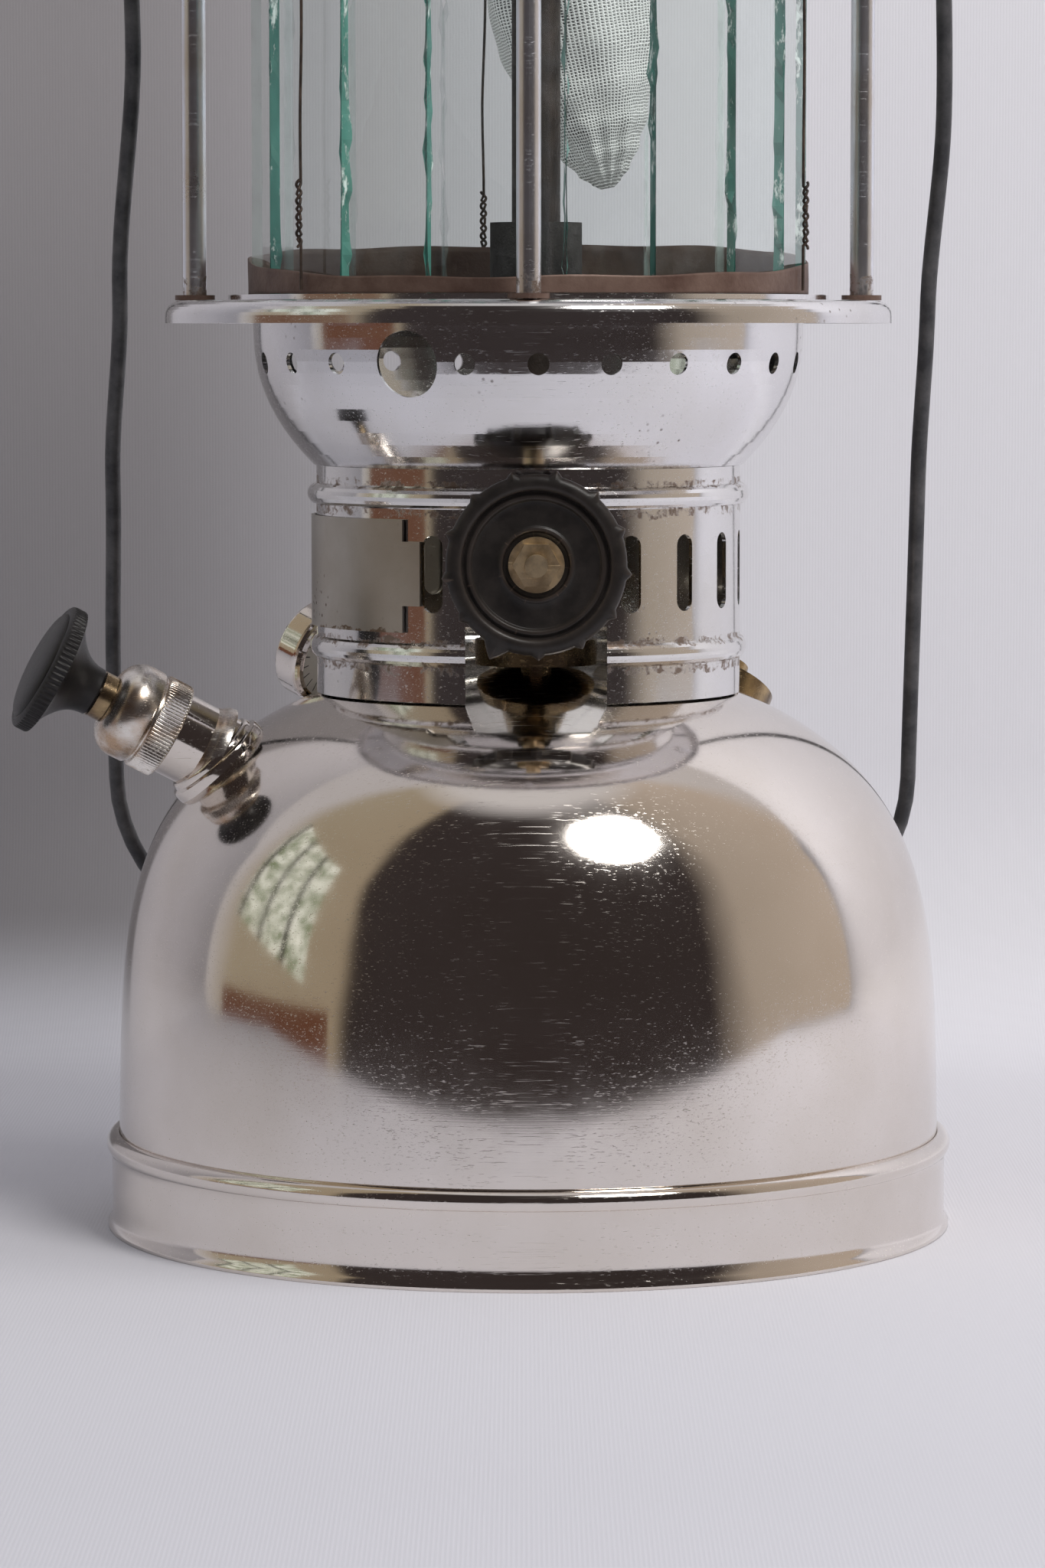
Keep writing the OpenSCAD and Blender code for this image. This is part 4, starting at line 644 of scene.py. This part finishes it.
def wire(name, path, radius, sides):
    """A round wire along points in mm."""
    points, faces = [], []
    frame_side = Vector((1, 0, 0))
    for i, p in enumerate(path):
        here = Vector(p)
        along = Vector(path[min(i + 1, len(path) - 1)]) - Vector(path[max(i - 1, 0)])
        along.normalize()
        frame_side = (frame_side - along * frame_side.dot(along)).normalized()
        other = along.cross(frame_side)
        for k in range(sides):
            a = 2 * math.pi * k / sides
            points.append(tuple(here + radius * (math.cos(a) * frame_side + math.sin(a) * other)))
    for i in range(len(path) - 1):
        for k in range(sides):
            m = (k + 1) % sides
            faces.append((i * sides + k, i * sides + m, (i + 1) * sides + m, (i + 1) * sides + k))
    faces.append(tuple(range(sides - 1, -1, -1)))
    faces.append(tuple(range((len(path) - 1) * sides, len(path) * sides)))
    return mesh_object(name, points, faces, 50)


def joined(name, pieces):
    """Joins objects that share one material into one."""
    for made in bpy.context.view_layer.objects:
        made.select_set(made in pieces)
    bpy.context.view_layer.objects.active = pieces[0]
    bpy.ops.object.join()
    pieces[0].name = name
    return pieces[0]


# tank: the drawn dome as one smooth sheet
outer = [(TANK_R, TANK_EDGE_Z), (TANK_R, DOME_START_Z - 3), (TANK_R, DOME_START_Z)]
for a in quarter(120, 12):
    up = DOME_H * math.sin(a) ** (2 / DOME_POWER)
    outer.append((math.cos(a) * (TANK_R - SIDE_DRAW * up), DOME_START_Z + up))
low_part = []
low_h = outer[3][1] - DOME_START_Z
for i in range(1, 40):
    z = low_h * i / 40
    turn_at = math.asin((z / DOME_H) ** (DOME_POWER / 2))
    low_part.append((math.cos(turn_at) * (TANK_R - SIDE_DRAW * z), DOME_START_Z + z))
outer[3:3] = low_part
tank = lathe("tank_dome", outer, 256, 40)
as_sheet(tank, SHEET_T)
stands_for(tank, "frame", "nickel_plate", looks["nickel"], "tank_shell")

# foot ring: rolled bead, plain band and a small step at the lower edge
bead_x = TANK_R + 0.3
ring_line = [(FOOT_R, 0), (FOOT_R, 0.8), (FOOT_BAND_R + 0.35, 1.7)]
ring_line += [(FOOT_BAND_R, z) for z in (2.6, 5.0, 8.0, 11.0, FOOT_BEAD_Z - FOOT_BEAD_R - 0.8)]
for i in range(25):
    a = math.radians(-50 + 138 * i / 24)
    ring_line.append((bead_x + FOOT_BEAD_R * math.cos(a), FOOT_BEAD_Z + FOOT_BEAD_R * math.sin(a)))
ring_line.append((TANK_R + 0.05, FOOT_BEAD_Z + FOOT_BEAD_R - 0.1))
foot = lathe("foot_band", ring_line, 360, 45)
as_sheet(foot, SHEET_T)
stands_for(foot, "frame", "nickel_plate", looks["nickel"], "foot_ring")


# globe: flat strips of glass with chipped green edges
def globe_strips():
    rng = random.Random(7)
    points, faces, kinds = [], [], []
    levels = 60
    half_gap = math.degrees(0.1 / GLOBE_R)
    for i in range(len(STRIP_EDGES) - 1):
        a = STRIP_EDGES[i] + half_gap
        b = STRIP_EDGES[i + 1] - half_gap
        half_turn = math.radians((STRIP_EDGES[i + 1] - STRIP_EDGES[i]) / 2)
        deep = GLOBE_R - GLASS_T / math.cos(half_turn)
        corners = []
        for r, turn_deg in ((GLOBE_R, a), (GLOBE_R, b), (deep, b), (deep, a)):
            t = math.radians(turn_deg)
            corners.append(Vector((r * math.sin(t), -r * math.cos(t), 0)))
        along = (corners[1] - corners[0]).normalized()
        base = len(points)
        chip = [0.0, 0.0, 0.0, 0.0]
        for k in range(levels + 1):
            z = GLASS_Z + GLASS_H * k / levels
            for c, corner in enumerate(corners):
                if rng.random() < 0.16:
                    chip[c] = rng.random() * 0.9
                else:
                    chip[c] *= 0.45
                inward = along if c in (0, 3) else -along
                points.append(tuple(corner + inward * chip[c] + Vector((0, 0, z))))
        for k in range(levels):
            for c in range(4):
                d = (c + 1) % 4
                lo, hi = base + 4 * k, base + 4 * k + 4
                faces.append((lo + c, lo + d, hi + d, hi + c))
                kinds.append(0 if c in (0, 2) else 1)
        faces.append((base + 3, base + 2, base + 1, base))
        kinds.append(1)
        top = base + 4 * levels
        faces.append((top, top + 1, top + 2, top + 3))
        kinds.append(1)
    made = mesh_object("globe_strips", points, faces)
    made.data.materials.append(looks["glass"])
    made.data.materials.append(looks["glass_edge"])
    for face, kind in zip(made.data.polygons, kinds):
        face.material_index = kind
    return made


stands_for(globe_strips(), "frame", "clear_glass", None, "glass_strips")


# tie wires: one long strand and a tail, twisted together low down
def tie_wire(number, turn_deg):
    t = math.radians(turn_deg)
    out_way = Vector((math.sin(t), -math.cos(t), 0))
    side = Vector((math.cos(t), math.sin(t), 0))
    r = BAND_R + 0.3 + 0.5
    low, high = SEAT_TOP_Z + 0.8, RING_Z - 0.6
    knot_low = SEAT_TOP_Z + 10.5
    knot_high = knot_low + KNOT_H
    long_part, tail = [], []
    steps = 150
    for i in range(steps + 1):
        z = low + (high - low) * i / steps
        lean = 0.35 * math.sin(z / 9.0 + number) * min(1, max(0, (z - knot_high) / 20))
        spot = out_way * r + side * lean
        if knot_low < z < knot_high:
            a = (z - knot_low) / KNOT_H * 2 * math.pi * KNOT_TURNS
            spot = out_way * (r + 0.45 + 0.42 * math.cos(a)) + side * (0.55 * math.sin(a))
        long_part.append(tuple(spot + Vector((0, 0, z))))
    for i in range(61):
        z = knot_low - 1.5 + 13.0 * i / 60
        a = (z - knot_low) / KNOT_H * 2 * math.pi * KNOT_TURNS + math.pi
        spot = out_way * (r + 0.5 + 0.42 * math.cos(a)) + side * (0.55 * math.sin(a))
        tail.append(tuple(spot + Vector((0, 0, z))))
    main = wire("tie_wire_%d" % number, long_part, TIE_WIRE_R, 8)
    end = wire("tie_tail_%d" % number, tail, TIE_WIRE_R, 8)
    return joined("tie_wire_%d" % number, [main, end])


for number, turn_deg in enumerate(TIE_TURNS):
    strand = tie_wire(number, turn_deg)
    taken = ["tie_wires"] if number == 0 else []
    stands_for(strand, "frame", "dark_wire", looks["dark_wire"], *taken)


# lower band of the globe: thin strip with a slanted, slightly bent top edge
def lower_band():
    points, faces = [], []
    steps, rows = 240, 8
    for i in range(steps):
        a = 2 * math.pi * i / steps
        x, y = math.sin(a), -math.cos(a)
        top = SEAT_TOP_Z + 7.0 + y * 4.0
        top += 0.35 * math.sin(3 * a + 1.0) + 0.2 * math.sin(11 * a)
        top = min(top, SEAT_TOP_Z + 11.0)
        for k in range(rows + 1):
            z = SEAT_TOP_Z + 0.15 + (top - SEAT_TOP_Z - 0.15) * k / rows
            r = BAND_R - 0.05 - 0.12 * (1 + math.sin(7 * a + 0.6 * z)) / 2
            points.append((r * x, r * y, z))
    for i in range(steps):
        j = (i + 1) % steps
        for k in range(rows):
            here, there = i * (rows + 1) + k, j * (rows + 1) + k
            faces.append((here, there, there + 1, here + 1))
    made = mesh_object("lower_band", points, faces, 60)
    as_sheet(made, BAND_T)
    return made


stands_for(lower_band(), "frame", "rusty_steel", looks["rust"], "lower_globe_band")


# mantle: knitted sock, gathered at the nozzle and drawn in to a tip that leans to the right
def mantle_sock():
    rng = random.Random(3)
    lengths = [0.0, 0.03, 0.07, 0.14, 0.24, 0.36, 0.48, 0.60, 0.72, 0.82, 0.90, 0.955, 0.985, 1.0]
    radii = [9.9, 9.3, 10.6, 13.0, 15.4, 16.9, 17.1, 16.2, 13.8, 10.9, 7.9, 5.2, 3.0, 1.6]
    points, faces, uvs = [], [], []
    rows, around_count = 150, 144
    tilt = Matrix.Rotation(math.radians(180 - MANTLE_LEAN), 3, "Y")
    top = Vector((BURNER_X, 0, MANTLE_TOP_Z))
    phases = [(rng.uniform(0, 6.28), rng.randint(3, 9), rng.uniform(5, 15)) for _ in range(9)]
    for k in range(rows + 1):
        u = k / rows
        n = max(i for i in range(len(lengths)) if lengths[i] <= u)
        if n == len(lengths) - 1:
            r = radii[-1]
        else:
            part = (u - lengths[n]) / (lengths[n + 1] - lengths[n])
            part = part * part * (3 - 2 * part)
            r = radii[n] + (radii[n + 1] - radii[n]) * part
        for i in range(around_count):
            a = 2 * math.pi * i / around_count
            crease = 0.0
            for phase, lobes, rate in phases:
                crease += math.sin(lobes * a + phase + rate * u)
            gather = 0.09 * math.sin(24 * a) * max(0.0, 1 - u * 9)
            gather += 0.14 * math.sin(14 * a + 2) * max(0.0, u - 0.8) * 4
            rr = r * (1 + 0.012 * crease * (0.4 + u) + gather) - 0.35
            spot = top + tilt @ Vector((rr * math.cos(a), rr * math.sin(a), MANTLE_H * u))
            points.append(tuple(spot))
    for k in range(rows):
        for i in range(around_count):
            j = (i + 1) % around_count
            faces.append((k * around_count + i, (k + 1) * around_count + i,
                          (k + 1) * around_count + j, k * around_count + j))
            a0, a1 = i / around_count, (i + 1) / around_count
            uvs += [(a0, k / rows), (a0, (k + 1) / rows), (a1, (k + 1) / rows), (a1, k / rows)]
    made = mesh_object("mantle_sock", points, faces, 80)
    layer = made.data.uv_layers.new(name="weave")
    for item, uv in zip(layer.data, uvs):
        item.uv = uv
    return made


stands_for(mantle_sock(), "frame", "mantle_net", looks["net"], "mantle")


# ---------------------------------------------------------------- pump
def standing(r, z, azimuth, tip):
    """A frame in mm at radius r and height z, tipped outwards by an angle."""
    a = math.radians(azimuth)
    turned = Matrix.Rotation(a, 4, "Z") @ Matrix.Rotation(math.radians(tip), 4, "Y")
    return Matrix.Translation((r * math.cos(a), r * math.sin(a), z)) @ turned


def open_bore(piece, stand, radius, reach):
    """Opens a piece along an axis: faces inside the bore go, and their edge moves out to it."""
    back = stand.inverted()
    shape = bmesh.new()
    shape.from_mesh(piece.data)
    inside = set()
    for vert in shape.verts:
        spot = back @ (vert.co / MM)
        if math.hypot(spot.x, spot.y) < radius and abs(spot.z) < reach:
            inside.add(vert)
    gone = [face for face in shape.faces if all(vert in inside for vert in face.verts)]
    bmesh.ops.delete(shape, geom=gone, context="FACES")
    for vert in inside:
        if vert.is_valid:
            spot = back @ (vert.co / MM)
            grow = radius / math.hypot(spot.x, spot.y)
            vert.co = (stand @ Vector((spot.x * grow, spot.y * grow, spot.z))) * MM
    shape.to_mesh(piece.data)
    shape.free()


pump_frame = standing(PUMP_FACE[0], PUMP_FACE[1], PUMP_AZIMUTH, 90 - PUMP_CLIMB)
seat_frame = standing(PUMP_SEAT[0], PUMP_SEAT[1], PUMP_AZIMUTH, PUMP_SLOPE)

flange_line = [(8.0, -2.2), (10.95, -2.2), (10.9, 0.5), (10.75, 0.95), (10.3, 1.2), (9.95, 1.35),
               (9.85, 1.9), (9.75, 2.3), (9.45, 2.6), (7.9, 2.62)]
flange = lathe("pump_flange_ring", flange_line, 128, 40, seat_frame)
open_bore(flange, pump_frame, PUMP_BORE_R, BORE_REACH)
open_bore(tank, pump_frame, TANK_BORE_R, BORE_REACH)
stands_for(flange, "frame", "nickel_plate", looks["nickel"], "pump_flange")
solder_line = [(9.9, -1.2), (9.7, 0.2), (9.15, 0.9), (8.75, 1.5), (8.53, 2.2), (8.4, 2.3)]
solder = lathe("pump_solder", solder_line, 96, 60, pump_frame)
stands_for(solder, "frame", "nickel_plate", looks["worn_nickel"])


def cap_ribs(r, z, a):
    """Fine knurling on the lower part of the pump's cap."""
    return 0.16 * (1 + math.cos(84 * a)) if 9.1 <= z <= 13.6 and r > 9 else 0.0


cap_line = [(8.6, 8.6), (9.55, 8.6), (9.8, 8.85), (9.8, 9.1), (9.85, 9.12), (9.85, 10.5),
            (9.85, 12.0), (9.85, 13.55), (9.7, 13.8), (9.15, 14.0), (9.1, 14.3), (9.5, 14.6),
            (9.75, 15.0)]
cap_line += [(4.9 + 4.9 * math.cos(a), 17.6 + 5.0 * math.sin(a)) for a in quarter(14, 0)]
cap_line.append((3.8, 22.6))
cap = lathe("pump_cap_shell", cap_line, 672, 32, pump_frame, cap_ribs)
stands_for(cap, "frame", "worn_nickel", looks["worn_nickel"], "pump_cap")


def knob_ribs(r, z, a):
    """Ribs round the rim of the pump's knob."""
    return 0.14 * (1 + math.cos(72 * a)) if r > 12.9 and 34.5 < z < 37.0 else 0.0


knob_line = [(2.6, 25.7), (4.6, 25.7), (4.9, 26.0)]
for i in range(1, 13):
    u = i / 12
    knob_line.append((4.9 + 6.5 * u ** 2.4, 25.9 + 8.2 * u))
knob_line += [(12.6, 34.2), (13.1, 34.4), (13.25, 34.7), (13.25, 35.6), (13.25, 36.6), (13.1, 37.1),
              (12.6, 37.5), (12.0, 37.7), (11.7, 37.55), (11.3, 37.6)]
knob_line += [(11.3 * math.cos(a), 37.6 + 2.0 * math.sin(a)) for a in quarter(16)]
knob = lathe("pump_knob_moulded", knob_line, 720, 40, pump_frame, knob_ribs)
stands_for(knob, "pump", "black_plastic", looks["knob_plastic"], "pump_knob")


# ---------------------------------------------------------------- control wheel
wheel_frame = Matrix.Translation((BURNER_X, WHEEL_BACK_Y, SPINDLE_Z))
wheel_frame = wheel_frame @ Matrix.Rotation(math.radians(90), 4, "X")


def wheel_teeth(r, z, a):
    """Small pointed teeth round the rim, and one long pointer."""
    if r < WHEEL_RIM_R or z > 4.45 or z < 0.3:
        return 0.0
    out_by = 0.0
    for k in range(WHEEL_TEETH):
        tooth = math.radians(POINTER_TURN + k * 360 / WHEEL_TEETH)
        far = (a - tooth + math.pi) % (2 * math.pi) - math.pi
        tall, half = (2.8, 2.6) if k == 0 else (1.0, 1.25)
        off = abs(far) * WHEEL_R
        if off < half:
            out_by = max(out_by, tall * (1 - off / half))
    return -out_by * min(1.0, (r - WHEEL_RIM_R) / 0.9)


wheel_line = [(2.3, 0.15), (7.0, 0.1), (16.6, 0.1), (17.1, 0.35), (17.35, 0.8), (17.4, 1.6),
              (17.4, 3.4), (17.3, 4.0), (17.0, 4.4), (16.5, 4.75), (15.9, 4.93), (15.3, 4.96),
              (14.8, 4.85), (14.4, 4.55), (14.2, 4.1), (14.1, 3.5), (14.0, 3.3), (13.7, 3.35),
              (13.5, 3.6), (13.2, 3.72), (12.8, 3.7), (12.5, 3.5), (12.3, 3.1), (12.1, 3.0),
              (11.0, 3.0), (9.0, 3.0), (7.6, 3.0), (7.4, 3.1), (7.2, 3.35), (6.9, 3.42),
              (6.6, 3.35), (6.4, 3.1), (6.3, 2.5), (6.1, 2.32), (4.0, 2.3), (2.3, 2.3)]
wheel = lathe("control_wheel_moulded", wheel_line, 720, 42, wheel_frame, wheel_teeth)
stands_for(wheel, "control", "black_plastic", looks["plastic"], "control_wheel")


# ---------------------------------------------------------------- bail
def smooth_between(marks, d):
    """Value at d of a smooth line through (distance, value) marks."""
    for (d0, v0), (d1, v1) in zip(marks, marks[1:]):
        if d <= d1:
            u = (d - d0) / (d1 - d0)
            u = u * u * (3 - 2 * u)
            return v0 + (v1 - v0) * u
    return marks[-1][1]


def bail_path():
    lean = math.radians(BAIL_LEAN)
    left = [(0, -85.5), (14, -84.6), (60, -81.0), (95, -80.8), (150, -85.0), (190, -87.6),
            (235, -88.7), (BAIL_LEG, -88.7)]
    right = [(0, 83.5), (60, 84.0), (112, 85.5), (153, 83.3), (190, 82.3), (BAIL_LEG, 82.0)]
    left_x, right_x = left[-1][1], right[-1][1]
    corner = BAIL_CORNER_R

    def spot(x, d):
        return (x, d * math.sin(lean), PIVOT_Z - d * math.cos(lean))

    def eye(x):
        ring = []
        for i in range(25):
            t = lean + math.pi + math.radians(345) * (1 - i / 24)
            ring.append((x, BAIL_EYE_R * -math.sin(t), PIVOT_Z + BAIL_EYE_R * math.cos(t)))
        return ring

    path = eye(left[0][1])
    for i in range(1, 60):
        d = BAIL_EYE_R + (BAIL_LEG - BAIL_EYE_R) * i / 59
        path.append(spot(smooth_between(left, d), d))
    for a in quarter(12):
        path.append(spot(left_x + corner * (1 - math.cos(a)), BAIL_LEG + corner * math.sin(a)))
    for i in range(1, 20):
        x = left_x + corner + (right_x - left_x - 2 * corner) * i / 20
        path.append(spot(x, BAIL_LEG + corner))
    for a in quarter(12, 0):
        path.append(spot(right_x - corner + corner * math.sin(a), BAIL_LEG + corner * math.cos(a)))
    for i in range(1, 60):
        d = BAIL_LEG - (BAIL_LEG - BAIL_EYE_R) * i / 59
        path.append(spot(smooth_between(right, d), d))
    path += eye(right[0][1])[::-1]
    return path


bail = wire("bail_wire", bail_path(), BAIL_WIRE_R, 16)
stands_for(bail, "bail", "black_wire", looks["wire"], "bail")
